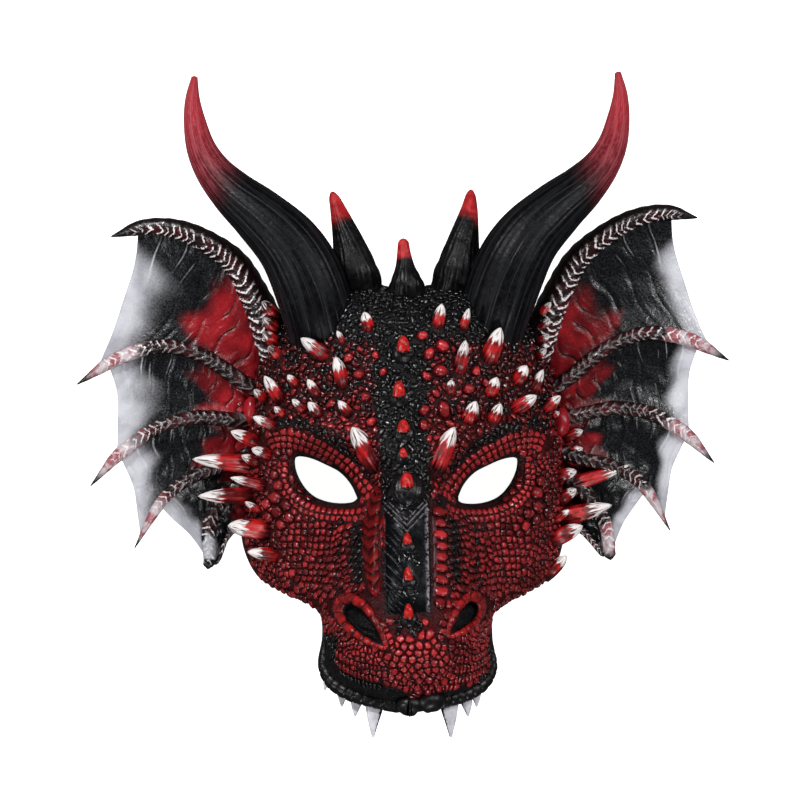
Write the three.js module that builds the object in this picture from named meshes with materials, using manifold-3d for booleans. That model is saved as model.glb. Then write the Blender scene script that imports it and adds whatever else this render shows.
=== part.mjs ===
import * as THREE from 'three';
import { mergeVertices } from 'three/addons/utils/BufferGeometryUtils.js';
import Module from 'manifold-3d';

// Dragon half mask for a costume, moulded in one piece of soft foam and painted.
// Millimetres. It lies on its back on its flat rim: +Z out of the face, +Y to the horn tips,
// +X to the viewer's right. The origin is on the floor, below the middle of its bounding box.
// Every table below gives the right half. The left half is its mirror image.

const wasm = await Module();
wasm.setup();

// Face shell
const WALL = 6; // foam thickness
const OUTER_GRID = { along: 46, across: 12 }; // cells along half the outline, and from it to the ridge line
const INNER_GRID = { along: 32, across: 8 };
const BELOW = -20; // how far a cut runs out under the mask
const FLOOR_POINT_Y = -48; // the underside is closed to this point of the centre line
const RIM = [
  // x, y and height of the shell's edge, from the forehead to under the lip
  [0, 57, 0], [20, 60, 0], [36, 61, 0], [52, 54, 0], [68, 38, 0], [79, 12, 0], [83, -18, 0],
  [84, -50, 0], [83, -76, 0], [76, -91, 6], [64, -98, 20], [51, -103, 34], [43.5, -109, 42],
  [42.5, -120, 47], [44.5, -134, 50], [40, -144, 52], [31, -150.5, 54], [18, -154, 57], [0, -156, 58],
];
// Where the middle of the face stands for each part of the outline: the share of the outline from
// the forehead to the lip, and y on the centre line
const SPINE = [
  [0, 12], [0.2, 3], [0.35, -15], [0.49, -46], [0.62, -80], [0.75, -100], [0.85, -110], [1, -114],
];
const FACE_HALF_WIDTH = 84;
const TEMPLE_FALL = 0.3; // share of its height that the face has lost at the temple
const FACE_HEIGHT = [[-155, 44], [-100, 48], [-60, 54], [-20, 62], [20, 66], [60, 74]]; // by y
const SNOUT_RISE = [
  [-155, 50], [-135, 56], [-115, 58], [-100, 54], [-80, 44], [-60, 32], [-40, 20], [-10, 8], [20, 2], [60, 0],
];
const SNOUT_HALF_WIDTH = [
  [-155, 60], [-112, 52], [-100, 40], [-85, 32], [-60, 24], [-35, 17], [-10, 24], [60, 30],
];
const SNOUT_SQUARE = 4; // the higher, the steeper the snout's sides
const SNOUT_INSET = 1.4; // its inside is this many wall thicknesses narrower, as its sides are steep
const SOCKET = { x: 41, y: -41, wide: 22, high: 15, depth: 9 };
// Ridges: the two ends of a line, the height over it and the half width across it
const RIDGES = [
  { from: [17, -24], to: [64, -10], height: 7, half: 7 }, // brow
  { from: [28, -67], to: [76, -50], height: 3, half: 8 }, // cheekbone
  { from: [17, -52], to: [20, -92], height: 4, half: 3.5 }, // beside the bridge of the nose
  { from: [28, -104], to: [28, -106], height: 6, half: 12 }, // nostril
  { from: [0, 50], to: [0, -100], height: 2.5, half: 9 }, // crest
];
const EYE = [
  [25, -50], [28.3, -43.2], [34, -37], [41, -33.3], [47.4, -30.5], [52.5, -29.3], [56, -29.6], [56.4, -33.5],
  [54.9, -39], [51, -45.5], [46, -49.8], [38.5, -52.3], [30.5, -52.6], [26.5, -51.6],
];
const NOSTRIL = { x: 26.2, y: -105.5, long: 9, short: 5, depth: 8, turn: 0.65 };
const STRAP_PAD = { x: 78.5, y: -9, z: 24, wide: 4.5, high: 7.5, thick: 6 };

// Horns, crown and teeth: a centre line as x, y, z and the radius there
const HORN = [
  [42, 26, 26, 17], [44.5, 43, 42, 18], [51, 63, 48, 18.4], [60.5, 79.5, 48, 16.8], [75, 94.5, 45, 14.2],
  [88.3, 105.8, 42, 11.6], [97.7, 116.2, 38, 9.5], [104.6, 128.6, 33, 7.6], [108.3, 142.5, 28, 5.8],
  [109.6, 154.4, 24, 3.8], [108.9, 167.2, 20, 0.8],
];
const HORN_FLUTE = 0.07; // depth of the grooves along a horn, as a share of its radius
const CROWN_SPIKE = [
  [24, 50, 30, 11], [26, 64, 38, 10.5], [29.5, 80, 38, 7.2], [33, 95, 35, 4], [35.8, 106.5, 31, 0.8],
];
const CREST_SPIKE = [[0, 44, 36, 9], [0, 60, 43, 8], [0, 71, 43, 5], [0, 81, 42, 1.8]];
const TEETH = [
  [[18.5, -145, 74, 4.6], [18.8, -153, 76, 4.2], [19.3, -167.4, 78, 0.5]],
  [[26.5, -141, 70, 3.6], [27.2, -149, 72, 3], [28, -157.3, 74, 0.4]],
  [[32.8, -137, 66, 3.2], [33.4, -145, 67, 2.8], [33.9, -153.2, 68, 0.4]],
  [[37, -132, 60, 2.6], [38.4, -139, 61, 2.2], [39.6, -145.5, 62, 0.4]],
];

// Small spikes: the foot's x and y, the tip's x and y, and the width of the foot
const SPIKES = [
  [17, 36, 20, 46, 5.5], [41, 21, 50, 34, 8], [29, 11, 33, 26, 7], [43, 2, 48, 11, 6], [43, -9, 48, -2, 6],
  [29, -9, 34.5, -1, 6], [55, 8, 60.5, 14.5, 6.5], [53, -5.5, 60, 0.5, 6], [64, 2, 70.5, 13.5, 5.5],
  [62, -6.5, 67, -1, 5], [71, -3, 78, 3.5, 5.5], [76, 0.5, 82.5, 6.5, 5], [70.5, -11.5, 78.5, -7, 5],
  [84.5, -11, 91, -7, 4], [79, -20.5, 90, -16, 6.5], [75.5, -29, 84.5, -25, 6], [77, -36, 85.5, -33, 5.5],
  [80, -39.5, 112, -32.5, 9], [76, -48, 88.5, -43, 6], [78, -56, 106.5, -52, 9], [75.5, -60, 83.5, -55, 4],
  [73, -70.5, 91.5, -65, 9.5], [70, -86, 82.5, -80, 7], [15.5, -32.5, 25.5, -14, 10],
];
const SPIKE_LIFT = 0.35; // how far a spike's tip rises for each millimetre that it reaches out
const SPIKE_SIDES = 5;
const SIDE_X = 74; // spikes beyond this stand on the side of the face
const SIDE_LIFT = 0.08;
const SIDE_FOOT_Z = 16; // and no lower than this
const UPPER_Y = 5; // spikes above this go up or down with the horns

// Ears: each rib's centre line as x, y, z, with its radius at the root and where the web ends.
// The last rib is only the thin edge of the lowest web.
const RIBS = [
  {
    radius: [9.5, 3.8],
    line: [[64, 18, 18], [75, 48, 25], [87, 70, 25], [107, 85.5, 23], [130, 92.5, 18], [151.6, 88.8, 12]],
  },
  {
    radius: [4.2, 3.4],
    line: [[74, 4, 18], [84, 10, 22], [106.6, 25.8, 22], [126, 30.5, 19], [147, 26, 14], [169, 13.8, 8]],
  },
  {
    radius: [4, 3.4],
    line: [[76, -10, 16], [88, -9.5, 20], [108, -7, 20], [127, -11, 17], [144.6, -21.7, 12], [161.7, -39, 7]],
  },
  {
    radius: [3.8, 3],
    line: [[78, -26, 14], [90, -31.4, 17], [109.6, -37.9, 17], [123.9, -48.2, 13], [138.9, -72.7, 6]],
  },
  {
    radius: [4.5, 3],
    line: [[79, -40, 12], [90, -47, 15], [98, -56, 14], [104.4, -67, 11], [108, -86, 6]],
  },
  {
    radius: [2, 1.2],
    line: [[78, -60, 12], [86, -65, 11], [94, -71, 9], [104.5, -84, 6]],
  },
];
// Where each web ends, as a share of the length of the rib above it and of the rib below it
const WEB_ENDS = [[0.86, 0.84], [0.82, 0.78], [0.76, 0.9], [0.66, 0.94], [0.94, 0.94]];
const WEB_THICK = 4;
const WEB_SAG = 3; // how far a web hangs back between its ribs
const WEB_SCALLOP = 0.05; // how far its margin curves in, as a share of its length
const WEB_ROWS = 5;
const WEB_COLUMNS = 3; // between two ribs

// The foam has set a little askew: the right horn and ear stand higher than the left ones
const HORN_ASKEW = 2.2;
const CROWN_ASKEW = 0.8;
const EAR_ASKEW = 1;
const EAR_SLANT = 0.07; // further up, on the right ear, for each millimetre out from its root
const EAR_ROOT_X = 80;

function clamp(value, low, high) {
  return Math.min(Math.max(value, low), high);
}

function mix(a, b, share) {
  return a + (b - a) * share;
}

// Smooth value at a place, from rows of place and value: a cubic through the rows.
function through(rows, place) {
  const last = rows.length - 1;
  let i = 0;
  while (i < last - 1 && place > rows[i + 1][0]) i += 1;
  const slope = (a, b) => (rows[b][1] - rows[a][1]) / (rows[b][0] - rows[a][0]);
  const span = rows[i + 1][0] - rows[i][0];
  const t = clamp((place - rows[i][0]) / span, 0, 1);
  const startSlope = slope(Math.max(i - 1, 0), i + 1) * span;
  const endSlope = slope(i, Math.min(i + 2, last)) * span;
  const rise = t * t * (3 - 2 * t);
  const startShare = t * (1 - t) * (1 - t);
  const endShare = t * t * (1 - t);
  return mix(rows[i][1], rows[i + 1][1], rise) + startShare * startSlope - endShare * endSlope;
}

// Closed solid from points and triangles, turned right side out.
function solidOf(points, triangles) {
  const build = (flip) => new wasm.Manifold(new wasm.Mesh({
    numProp: 3,
    vertProperties: new Float32Array(points.flat()),
    triVerts: new Uint32Array(triangles.flatMap(([a, b, c]) => (flip ? [a, c, b] : [a, b, c]))),
  }));
  const solid = build(false);
  return solid.volume() < 0 ? build(true) : solid;
}

function geometryOf(solid) {
  const { vertProperties, triVerts, numProp } = solid.getMesh();
  const geometry = new THREE.BufferGeometry();
  const positions = new Float32Array((vertProperties.length / numProp) * 3);
  for (let i = 0; i < positions.length / 3; i += 1) {
    for (let k = 0; k < 3; k += 1) positions[i * 3 + k] = vertProperties[i * numProp + k];
  }
  geometry.setAttribute('position', new THREE.BufferAttribute(positions, 3));
  geometry.setIndex(new THREE.BufferAttribute(new Uint32Array(triVerts), 1));
  geometry.computeVertexNormals();
  return geometry;
}

// Rings of points, each with the same count, joined into a closed solid with a flat foot and head.
// With a tip, the last ring runs to that point instead.
function loft(rings, tip) {
  const count = rings[0].length;
  const points = rings.flat();
  const triangles = [];
  for (let r = 0; r < rings.length - 1; r += 1) {
    for (let i = 0; i < count; i += 1) {
      const a = r * count + i;
      const b = r * count + ((i + 1) % count);
      triangles.push([a, b, b + count], [a, b + count, a + count]);
    }
  }
  const top = (rings.length - 1) * count;
  for (let i = 1; i < count - 1; i += 1) {
    triangles.push([0, i + 1, i]);
    if (!tip) triangles.push([top, top + i, top + i + 1]);
  }
  if (tip) {
    const apex = points.push(tip) - 1;
    for (let i = 0; i < count; i += 1) triangles.push([top + i, top + ((i + 1) % count), apex]);
  }
  return solidOf(points, triangles);
}

// A horn, spike, rib or tooth: round rings along a smooth line, each at right angles to it, and a
// sharp tip.
function taper(line, sides, steps, fluting = 0) {
  const stations = line.map(([x, y, z]) => new THREE.Vector3(x, y, z));
  const path = new THREE.CatmullRomCurve3(stations, false, 'centripetal');
  const rows = line.map((row, i) => [i / (line.length - 1), row[3]]);
  const rings = [];
  for (let s = 0; s < steps; s += 1) {
    const share = s / steps;
    const centre = path.getPoint(share);
    const ahead = path.getTangent(share);
    const across = new THREE.Vector3(0, 0, 1).cross(ahead).normalize();
    const up = ahead.clone().cross(across);
    const radius = through(rows, share);
    rings.push(Array.from({ length: sides }, (_, i) => {
      const turn = (2 * Math.PI * i) / sides;
      const reach = radius * (i % 2 ? 1 - fluting : 1);
      const point = centre.clone().addScaledVector(across, reach * Math.cos(turn));
      return point.addScaledVector(up, reach * Math.sin(turn)).toArray();
    }));
  }
  return loft(rings, path.getPoint(1).toArray());
}

// Spokes of half the face, each from the centre line to the outline, in order from the forehead to
// the lip. An inset moves the outline in.
const rimCurve = new THREE.CatmullRomCurve3(RIM.map((p) => new THREE.Vector3(...p)), false, 'centripetal');

function spokes(count, inset) {
  return Array.from({ length: count + 1 }, (_, i) => {
    const edge = rimCurve.getPointAt(i / count);
    const tangent = rimCurve.getTangentAt(i / count);
    const scale = inset / Math.hypot(tangent.x, tangent.y);
    const onCentreLine = i === 0 || i === count;
    return {
      middle: through(SPINE, i / count),
      x: onCentreLine ? 0 : edge.x + scale * tangent.y,
      y: edge.y - scale * tangent.x,
      height: Math.max(edge.z, 0),
    };
  });
}

const fineSpokes = spokes(400, 0);

// The height of the edge beside a point, and the point's share of the way to it from the middle.
function rimBeside(x, y) {
  const side = Math.abs(x);
  const past = (spoke) => (spoke.y - spoke.middle) * side - spoke.x * (y - spoke.middle);
  const next = clamp(fineSpokes.findIndex((spoke) => past(spoke) <= 0), 1, fineSpokes.length - 1);
  const [before, after] = [fineSpokes[next - 1], fineSpokes[next]];
  const share = clamp(past(before) / (past(before) - past(after)), 0, 1);
  const middle = mix(before.middle, after.middle, share);
  const edge = [mix(before.x, after.x, share), mix(before.y, after.y, share)];
  return {
    height: mix(before.height, after.height, share),
    across: Math.hypot(side, y - middle) / Math.hypot(edge[0], edge[1] - middle),
  };
}

// How much of its full height the face keeps, from 1 at its centre to 0 at its edge.
function shoulder(share) {
  return (1 - clamp(share, 0, 1) ** 3) ** 0.4;
}

// Height of the face's main forms over the floor, before the shoulder: brow, cheeks and snout.
function mainForm(x, y, inset) {
  const side = Math.abs(x);
  const face = through(FACE_HEIGHT, y) * (1 - TEMPLE_FALL * (side / FACE_HALF_WIDTH) ** 2);
  const half = through(SNOUT_HALF_WIDTH, y) - SNOUT_INSET * inset;
  const snout = through(SNOUT_RISE, y) / (1 + (side / half) ** SNOUT_SQUARE);
  const socket = Math.exp(-(((side - SOCKET.x) / SOCKET.wide) ** 2) - ((y - SOCKET.y) / SOCKET.high) ** 2);
  return face + snout - SOCKET.depth * socket - inset;
}

function ridgeHeight(x, y, { from, to, height, half }) {
  const along = [to[0] - from[0], to[1] - from[1]];
  const offset = [Math.abs(x) - from[0], y - from[1]];
  const share = (offset[0] * along[0] + offset[1] * along[1]) / (along[0] ** 2 + along[1] ** 2);
  const near = clamp(share, 0, 1);
  const distance = Math.hypot(offset[0] - near * along[0], offset[1] - near * along[1]);
  return height * Math.exp(-((distance / half) ** 2));
}

function outerHeight(x, y, rimHeight, across) {
  const relief = RIDGES.reduce((sum, ridge) => sum + ridgeHeight(x, y, ridge), 0);
  return rimHeight + (mainForm(x, y, 0) + relief - rimHeight) * shoulder(across);
}

function innerHeight(x, y, rimHeight, across) {
  return rimHeight + (mainForm(x, y, WALL) - rimHeight) * shoulder(across);
}

// Height of the outside at any point of the plan.
function surfaceAt(x, y) {
  const rim = rimBeside(x, y);
  return outerHeight(x, y, rim.height, rim.across);
}

// Surface of the face: rows of points along the spokes of its right half, crowded towards the edge,
// where the sides are steep, and the same rows mirrored. The halves share the centre line. Also
// gives the points of its edge in order, from the forehead down the right side and round.
function faceSurface({ along, across }, inset, heightAt) {
  const points = [];
  const found = new Map();
  const place = (x, y, z) => {
    const key = [x, y, z].map((value) => Math.round(value * 1e5)).join();
    if (!found.has(key)) found.set(key, points.push([x, y, z]) - 1);
    return found.get(key);
  };
  const rows = spokes(along, inset);
  const halves = [1, -1].map((side) => rows.map((spoke) => (
    Array.from({ length: across + 1 }, (_, r) => {
      const share = Math.sin((r / across) * (Math.PI / 2));
      const x = side * spoke.x * share;
      const y = mix(spoke.middle, spoke.y, share);
      return place(x, y, heightAt(x, y, spoke.height, share));
    })
  )));
  const triangles = [];
  halves.forEach((half, left) => {
    for (let k = 0; k < along; k += 1) {
      for (let r = 0; r < across; r += 1) {
        const quad = [half[k][r], half[k][r + 1], half[k + 1][r + 1], half[k + 1][r]];
        const [a, b, c, d] = left ? quad : quad.reverse();
        triangles.push([a, b, c], [a, c, d]);
      }
    }
  });
  const edge = halves.map((half) => half.map((row) => row[across]));
  const loop = [...edge[0], ...edge[1].slice(1, -1).reverse()];
  return { points, triangles, loop };
}

// The outside of the face, closed below by a fan from its edge to the floor under its middle.
function faceBlock() {
  const { points, triangles, loop } = faceSurface(OUTER_GRID, 0, outerHeight);
  const foot = points.push([0, FLOOR_POINT_Y, 0]) - 1;
  loop.forEach((from, k) => triangles.push([from, loop[(k + 1) % loop.length], foot]));
  return solidOf(points, triangles);
}

// The hollow for the wearer's face, running straight down out of the mask.
function faceHollow() {
  const { points, triangles, loop } = faceSurface(INNER_GRID, WALL, innerHeight);
  const low = loop.map((from) => points.push([points[from][0], points[from][1], BELOW]) - 1);
  const middle = points.push([0, FLOOR_POINT_Y, BELOW]) - 1;
  loop.forEach((from, k) => {
    const next = (k + 1) % loop.length;
    triangles.push([from, loop[next], low[next]], [from, low[next], low[k]]);
    triangles.push([low[k], low[next], middle]);
  });
  return solidOf(points, triangles);
}

function eyeHole() {
  const ring = (z) => EYE.map(([x, y]) => [x, y, z]);
  return loft([ring(BELOW), ring(2 * FACE_HALF_WIDTH)]);
}

// A ball stretched along its axes, turned about Z and moved.
function pebble(x, y, z, long, short, tall, turn) {
  const ball = new THREE.SphereGeometry(1, 8, 6);
  ball.deleteAttribute('normal');
  ball.deleteAttribute('uv');
  ball.rotateX(Math.PI / 2);
  ball.scale(long, short, tall);
  ball.rotateZ(turn);
  ball.translate(x, y, z);
  const merged = mergeVertices(ball, 1e-4);
  const { array } = merged.getAttribute('position');
  const points = Array.from({ length: array.length / 3 }, (_, i) => [...array.slice(i * 3, i * 3 + 3)]);
  const index = merged.getIndex().array;
  const triangles = Array.from({ length: index.length / 3 }, (_, i) => [...index.slice(i * 3, i * 3 + 3)]);
  return solidOf(points, triangles.filter(([a, b, c]) => a !== b && b !== c && c !== a));
}

function nostril() {
  const { x, y, long, short, depth, turn } = NOSTRIL;
  return pebble(x, y, surfaceAt(x, y), long, short, depth, turn);
}

function strapPad() {
  const { x, y, z, wide, high, thick } = STRAP_PAD;
  return pebble(x, y, z, wide, high, thick, 0);
}

// A small spike, rooted in the foam below the point where it leaves the face.
function spike([x, y, tipX, tipY, width]) {
  const sideways = x > SIDE_X;
  const reach = Math.hypot(tipX - x, tipY - y);
  const foot = Math.max(surfaceAt(x, y), SIDE_FOOT_Z);
  const tip = foot + reach * (sideways ? SIDE_LIFT : SPIKE_LIFT);
  const rootShare = Math.min(WALL / reach, 0.4);
  const root = [mix(x, tipX, -rootShare), mix(y, tipY, -rootShare), mix(foot, tip, -rootShare)];
  const at = (share) => [mix(x, tipX, share), mix(y, tipY, share), mix(foot, tip, share)];
  const half = width / 2;
  return taper([[...root, half], [...at(0.3), half], [...at(1), 0]], SPIKE_SIDES, 2);
}

const ribCurves = RIBS.map(({ line }) => (
  new THREE.CatmullRomCurve3(line.map((p) => new THREE.Vector3(...p)), false, 'centripetal')
));

// A rib: a tapering rod with a claw, which starts where the shorter of its two webs ends.
function rib(index) {
  const [root, end] = RIBS[index].radius;
  const webAbove = index > 0 ? WEB_ENDS[index - 1][1] : 1;
  const webBelow = index < WEB_ENDS.length ? WEB_ENDS[index][0] : 1;
  const claw = Math.min(webAbove, webBelow);
  const stations = [
    [0, root], [claw / 2, mix(root, end, 0.5)], [claw, end], [(1 + claw) / 2, end * 0.6], [1, end * 0.08],
  ];
  const line = stations.map(([share, radius]) => [...ribCurves[index].getPointAt(share).toArray(), radius]);
  return taper(line, 5, 7);
}

// The webs of an ear as one sheet with two faces, hung between the ribs.
function webs() {
  const columns = (RIBS.length - 1) * WEB_COLUMNS;
  const top = [];
  for (let c = 0; c <= columns; c += 1) {
    const first = Math.min(Math.floor(c / WEB_COLUMNS), RIBS.length - 2);
    const across = c / WEB_COLUMNS - first;
    const hollow = 4 * across * (1 - across);
    const scallop = 1 - WEB_SCALLOP * hollow;
    const ends = WEB_ENDS[first].map((end) => end * scallop);
    for (let r = 0; r <= WEB_ROWS; r += 1) {
      const along = r / WEB_ROWS;
      const a = ribCurves[first].getPointAt(ends[0] * along);
      const b = ribCurves[first + 1].getPointAt(ends[1] * along);
      const point = a.lerp(b, across);
      top.push([point.x, point.y, point.z - WEB_SAG * hollow]);
    }
  }
  const under = top.map(([x, y, z]) => [x, y, z - WEB_THICK]);
  const rows = WEB_ROWS + 1;
  const at = (c, r) => c * rows + r;
  const triangles = [];
  const quad = (a, b, c, d) => triangles.push([a, b, c], [a, c, d]);
  const flip = top.length;
  for (let c = 0; c < columns; c += 1) {
    for (let r = 0; r < WEB_ROWS; r += 1) {
      quad(at(c, r), at(c + 1, r), at(c + 1, r + 1), at(c, r + 1));
      quad(flip + at(c, r), flip + at(c, r + 1), flip + at(c + 1, r + 1), flip + at(c + 1, r));
    }
    quad(at(c, 0), flip + at(c, 0), flip + at(c + 1, 0), at(c + 1, 0));
    quad(at(c + 1, WEB_ROWS), flip + at(c + 1, WEB_ROWS), flip + at(c, WEB_ROWS), at(c, WEB_ROWS));
  }
  for (let r = 0; r < WEB_ROWS; r += 1) {
    quad(at(0, r + 1), flip + at(0, r + 1), flip + at(0, r), at(0, r));
    quad(at(columns, r), flip + at(columns, r), flip + at(columns, r + 1), at(columns, r + 1));
  }
  return solidOf([...top, ...under], triangles);
}

// Each solid on the right and its mirror image on the left, moved up on the right and down on the
// left, and slanted the same way from the ears' roots outwards.
function bothSides(solids, askew = 0, slant = 0) {
  const placed = (solid, side) => {
    const rise = side * (askew - slant * EAR_ROOT_X);
    return solid.transform([1, slant, 0, 0, 0, 1, 0, 0, 0, 0, 1, 0, 0, rise, 0, 1]);
  };
  return solids.flatMap((solid) => [placed(solid, 1), placed(solid.mirror([1, 0, 0]), -1)]);
}

const upperSpikes = SPIKES.filter((row) => row[1] > UPPER_Y);
const lowerSpikes = SPIKES.filter((row) => row[1] <= UPPER_Y);
const added = [
  taper(CREST_SPIKE, 8, 4, HORN_FLUTE),
  ...bothSides([taper(CROWN_SPIKE, 8, 5, HORN_FLUTE)], CROWN_ASKEW),
  ...bothSides([taper(HORN, 12, 12, HORN_FLUTE), ...upperSpikes.map(spike)], HORN_ASKEW),
  ...bothSides([webs(), ...RIBS.map((_, i) => rib(i))], EAR_ASKEW, EAR_SLANT),
  ...bothSides([...TEETH.map((line) => taper(line, 5, 2)), ...lowerSpikes.map(spike), strapPad()]),
];
const cut = [faceHollow(), ...bothSides([eyeHole(), nostril()])];
const joined = added.reduce((whole, solid) => whole.add(solid), faceBlock());
const mask = cut.reduce((whole, solid) => whole.subtract(solid), joined);

const painted = new THREE.MeshStandardMaterial({ color: 0x7d1119, roughness: 0.55, metalness: 0 });
const mesh = new THREE.Mesh(geometryOf(mask), painted);
mesh.name = 'mask';

const dragonMask = new THREE.Group();
dragonMask.add(mesh);

export default dragonMask;
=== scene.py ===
import math

import bpy
import numpy as np
from mathutils import Matrix, Vector


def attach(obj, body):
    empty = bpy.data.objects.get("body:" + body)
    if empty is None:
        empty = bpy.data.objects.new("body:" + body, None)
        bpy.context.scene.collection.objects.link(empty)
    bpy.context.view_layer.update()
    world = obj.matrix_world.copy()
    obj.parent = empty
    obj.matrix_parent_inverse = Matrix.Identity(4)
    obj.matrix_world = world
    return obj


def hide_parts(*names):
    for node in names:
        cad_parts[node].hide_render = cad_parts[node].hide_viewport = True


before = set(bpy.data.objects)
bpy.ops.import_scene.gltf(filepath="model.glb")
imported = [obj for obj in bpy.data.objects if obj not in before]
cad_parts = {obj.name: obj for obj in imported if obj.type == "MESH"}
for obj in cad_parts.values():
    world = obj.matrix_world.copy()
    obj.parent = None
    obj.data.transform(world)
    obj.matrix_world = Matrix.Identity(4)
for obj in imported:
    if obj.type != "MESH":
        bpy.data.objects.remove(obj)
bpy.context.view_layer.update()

# Face shell. The real one is skinned soft foam about 6 mm thick, poured in one go in a mould with
# everything that stands on it. It carries the brow, the eye sockets, the cheeks and the snout, and
# it lies on the flat edge behind the brow and the cheeks.
MM = 0.001
WALL, PORE_DEEP = 6, 0.03
SHELL_ROWS, SHELL_COLUMNS = 190, 88
EDGE_CROWDING, EYE_WALL_REACH = 0.45, 7
# Right half of the outline from the forehead to the lip: x, y and height of the edge
RIM = [
    (0, 57, 0), (20, 60, 0), (36, 61, 0), (52, 54, 0), (68, 38, 0), (79, 12, 0), (83, -18, 0),
    (84, -50, 0), (83, -76, 0), (76, -91, 6), (64, -98, 20), (51, -103, 34), (43.5, -109, 42),
    (42.5, -120, 47), (44.5, -134, 50), (40, -143, 52), (31, -148.8, 54), (18, -152.4, 57), (0, -156, 58),
]
# y of the centre line that each spoke to the outline starts from, by its share of the outline
SPINE = [(0, 12), (0.2, 3), (0.35, -15), (0.49, -46), (0.62, -80), (0.75, -100), (0.85, -110), (1, -114)]
FACE_HALF_WIDTH, TEMPLE_FALL = 84, 0.3
FLATNESS, SHOULDER = 3, 0.4  # powers of the fall towards the edge
# y and height of the face, y and rise of the snout over it, y and half width of the snout
FACE_HEIGHT = [(-155, 44), (-100, 48), (-60, 54), (-20, 62), (20, 66), (60, 74)]
SNOUT_RISE = [
    (-155, 50), (-135, 56), (-115, 58), (-100, 54), (-80, 44), (-60, 32), (-40, 20), (-10, 8), (20, 2),
    (60, 0),
]
SNOUT_HALF_WIDTH = [
    (-155, 60), (-112, 52), (-100, 40), (-85, 32), (-60, 24), (-35, 17), (-10, 24), (60, 30),
]
SNOUT_INSET = 1.4
# Eye sockets: how far out and up their middles are, half width, half height, depth
SOCKET_X, SOCKET_Y, SOCKET_HALF, SOCKET_HIGH, SOCKET_DEEP = 41, -41, 22, 15, 9
# Ridges of the bone: ends of each in plan, height, half width
RIDGES = [
    ((17, -24), (64, -10), 7, 7), ((28, -67), (76, -50), 3, 8), ((17, -52), (20, -92), 3, 3.5),
    ((28, -104), (28, -106), 6, 12),
]
# The crest wanders off the middle line: y and x of its middle, from the snout up
CREST = [(-110, -1.2), (-85, -1.8), (-40, -2), (-15, -3.2), (8, -4.6), (28, -3.6), (55, -1.5)]
# Right eye hole, and the middle lines of the rolls over and under it
EYE = [
    (25, -50), (28.3, -43.2), (34, -37), (41, -33.3), (47.4, -30.5), (52.5, -29.3), (56, -29.6),
    (56.4, -33.5), (54.9, -39), (51, -45.5), (46, -49.8), (38.5, -52.3), (30.5, -52.6), (26.5, -51.6),
    (25, -50),
]
UPPER_LID = [
    (20, -48.5), (27, -38.8), (34, -31.8), (41.7, -26.8), (49.5, -22.9), (57.5, -20.5), (65, -20.3),
    (71, -22.5),
]
LOWER_LID = [
    (61.5, -33), (61.8, -42), (57.5, -49), (50, -54.6), (41.5, -56.8), (32.5, -57.2), (24.5, -56.4),
    (19.5, -54),
]
# Nostrils, left and right: middle, half length, half width and turn of the long way from +X
NOSTRILS = {-1: (23.2, -110, 11.2, 4.6, 0.78), 1: (26.3, -106.8, 8.8, 4.3, 0.76)}
NOSTRIL_TAPER, PIT_DEEP = 0.35, 9
# Height or depth of what is carved, and its half width
CREST_RISE, UPPER_ROLL, LOWER_ROLL = (2.5, 9), (2.6, 4.2), (1.6, 2.8)
EYE_SINK, PIT_ROLL, NOSE_GROOVE = (2.4, 2.6), (2.6, 0.32), (1.6, 1.6)


def through(rows, place):
    """Value at a place, from rows of place and value: a cubic between two rows, whose slope at each
    row is that of the line between its neighbours."""
    rows, place = np.asarray(rows, float), np.asarray(place, float)
    at, value = rows[:, 0], rows[:, 1]
    last = len(at) - 1
    i = np.clip(np.searchsorted(at, place) - 1, 0, last - 1)
    before, after = np.maximum(i - 1, 0), np.minimum(i + 2, last)
    span = at[i + 1] - at[i]
    t = np.clip((place - at[i]) / span, 0, 1)
    start = (value[i + 1] - value[before]) / (at[i + 1] - at[before]) * span
    end = (value[after] - value[i]) / (at[after] - at[i]) * span
    rise = value[i] + (value[i + 1] - value[i]) * t * t * (3 - 2 * t)
    return rise + t * (1 - t) ** 2 * start - t * t * (1 - t) * end


def fade(value, low, high):
    """0 up to low, 1 from high on, and an S-shaped rise between; low may be the higher number."""
    t = np.clip((np.asarray(value, float) - low) / (high - low), 0, 1)
    return t * t * (3 - 2 * t)


def bell(value, half):
    """1 at nought, falling off both ways: e to the power of minus the square of value over half."""
    return np.exp(-((value / half) ** 2))


def curve_at(points, place):
    """Centripetal Catmull-Rom curve through points, at places from 0 to 1 spread evenly over the
    points: a cubic between two points, with slopes weighted by the root of each span's length."""
    points = np.asarray(points, float)
    ends = np.vstack([2 * points[0] - points[1], points, 2 * points[-1] - points[-2]])
    u = np.clip(np.asarray(place, float), 0, 1) * (len(points) - 1)
    i = np.minimum(u.astype(int), len(points) - 2)
    t = (u - i)[..., None]
    a, b, c, d = ends[i], ends[i + 1], ends[i + 2], ends[i + 3]
    ab, bc, cd = (np.sqrt(np.linalg.norm(v, axis=-1))[..., None] for v in (b - a, c - b, d - c))
    start = ((b - a) / ab - (c - a) / (ab + bc) + (c - b) / bc) * bc
    end = ((c - b) / bc - (d - b) / (bc + cd) + (d - c) / cd) * bc
    return b + start * t + (3 * (c - b) - 2 * start - end) * t**2 + (2 * (b - c) + start + end) * t**3


def length_along(line):
    """Length run from the first point to each point of a line."""
    return np.concatenate([[0], np.cumsum(np.linalg.norm(np.diff(line, axis=0), axis=1))])


def even_curve(points, share):
    """Points of the same curve at shares of its length."""
    fine = curve_at(points, np.linspace(0, 1, 1601))
    run = length_along(fine)
    return np.stack([np.interp(share, run / run[-1], fine[:, k]) for k in range(fine.shape[1])], -1)


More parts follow.
